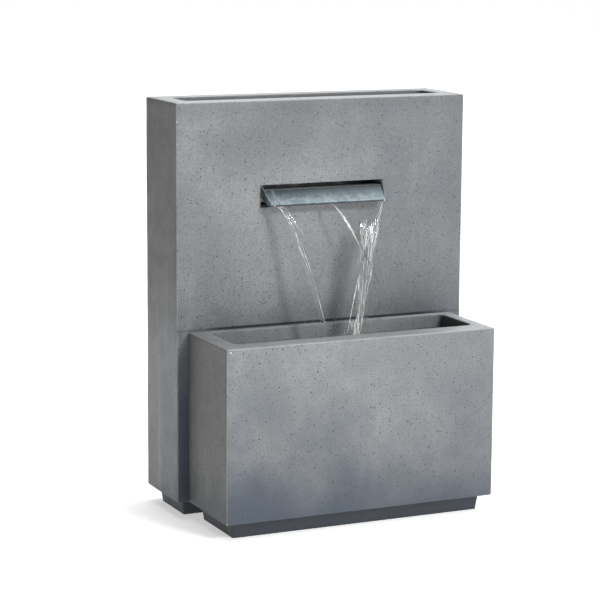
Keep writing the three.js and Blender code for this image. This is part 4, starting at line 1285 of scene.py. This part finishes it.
# ---- Stage ----
CAMERA = {"azimuth": -24.995, "elevation": 10.04, "roll": 0.395, "distance": 4.1982, "lens": 132.4}
CAMERA_TARGET = Vector((-47.9 * MM, JOINT_Y, 401.8 * MM))


def build_camera():
    azimuth, elevation, roll = (math.radians(CAMERA[key]) for key in ("azimuth", "elevation", "roll"))
    ahead = math.cos(elevation)
    back = Vector((math.sin(azimuth) * ahead, -math.cos(azimuth) * ahead, math.sin(elevation)))
    right = Vector((math.cos(azimuth), math.sin(azimuth), 0))
    up = back.cross(right)
    rolled_right = right * math.cos(roll) + up * math.sin(roll)
    rolled_up = up * math.cos(roll) - right * math.sin(roll)
    data = bpy.data.cameras.new("camera")
    data.lens = CAMERA["lens"]
    data.sensor_width = 36
    data.clip_start, data.clip_end = 0.1, 60
    camera = linked("camera", data)
    basis = Matrix((rolled_right, rolled_up, back)).transposed().to_4x4()
    camera.matrix_world = Matrix.Translation(CAMERA_TARGET + back * CAMERA["distance"]) @ basis
    bpy.context.scene.camera = camera


def area_light(name, place, target, size, power):
    data = bpy.data.lights.new(name, "AREA")
    data.shape = "RECTANGLE"
    data.size, data.size_y = size
    data.energy = power
    lamp = linked(name, data)
    lamp.location = place
    lamp.rotation_euler = (Vector(target) - Vector(place)).to_track_quat("-Z", "Y").to_euler()


def build_stage():
    """A pale floor that brightens away from the object until it meets the white backdrop."""
    material, tree, shader = new_material("pale_floor")
    place = object_place(tree)
    tone = mix(ramp(noise_of(place, 1.5, 2), 0.3, 0.7), grey(0.8), grey(0.82))
    away = node(tree, "VectorMath", {"operation": "LENGTH"}, Vector=place)["Value"]
    feed(shader, Base_Color=tone, Roughness=0.9, Specular_IOR_Level=0.0)
    feed(shader, Emission_Color=grey(1.0), Emission_Strength=ramp(away, 0.7, 1.6, 0.5, 1.0))
    half = 14.0
    corners = [(-half, -half, 0), (half, -half, 0), (half, half, 0), (-half, half, 0)]
    floor = add_object("floor", mesh_from("floor", corners, [(0, 1, 2, 3)]), material)
    floor.location.z = -0.5 * MM


def build_lights():
    middle = (0, 0, 0.45)
    area_light("key", (1.1, -3.4, 2.6), middle, (0.8, 0.8), 92)
    area_light("top", (0.3, 0.3, 3.2), middle, (2.6, 2.0), 75)
    world = bpy.data.worlds.new("studio")
    world.use_nodes = True
    tree = world.node_tree
    tree.nodes.clear()
    sideways = split(node(tree, "TexCoord")["Generated"])["X"]
    glow = ramp(sideways, -0.5, 0.45, 0.04, 0.9)
    colour = mix(node(tree, "LightPath")["Is Camera Ray"], glow, grey(1.0))
    background = node(tree, "Background", Color=colour, Strength=1.0)["Background"]
    put(tree.nodes.new("ShaderNodeOutputWorld").inputs["Surface"], background)
    scene = bpy.context.scene
    scene.world = world
    scene.view_settings.view_transform = "Standard"


build_camera()
build_tower()
build_basin()
build_fittings()
build_streams()
build_drops()
build_splash()
build_pool()
build_stage()
build_lights()
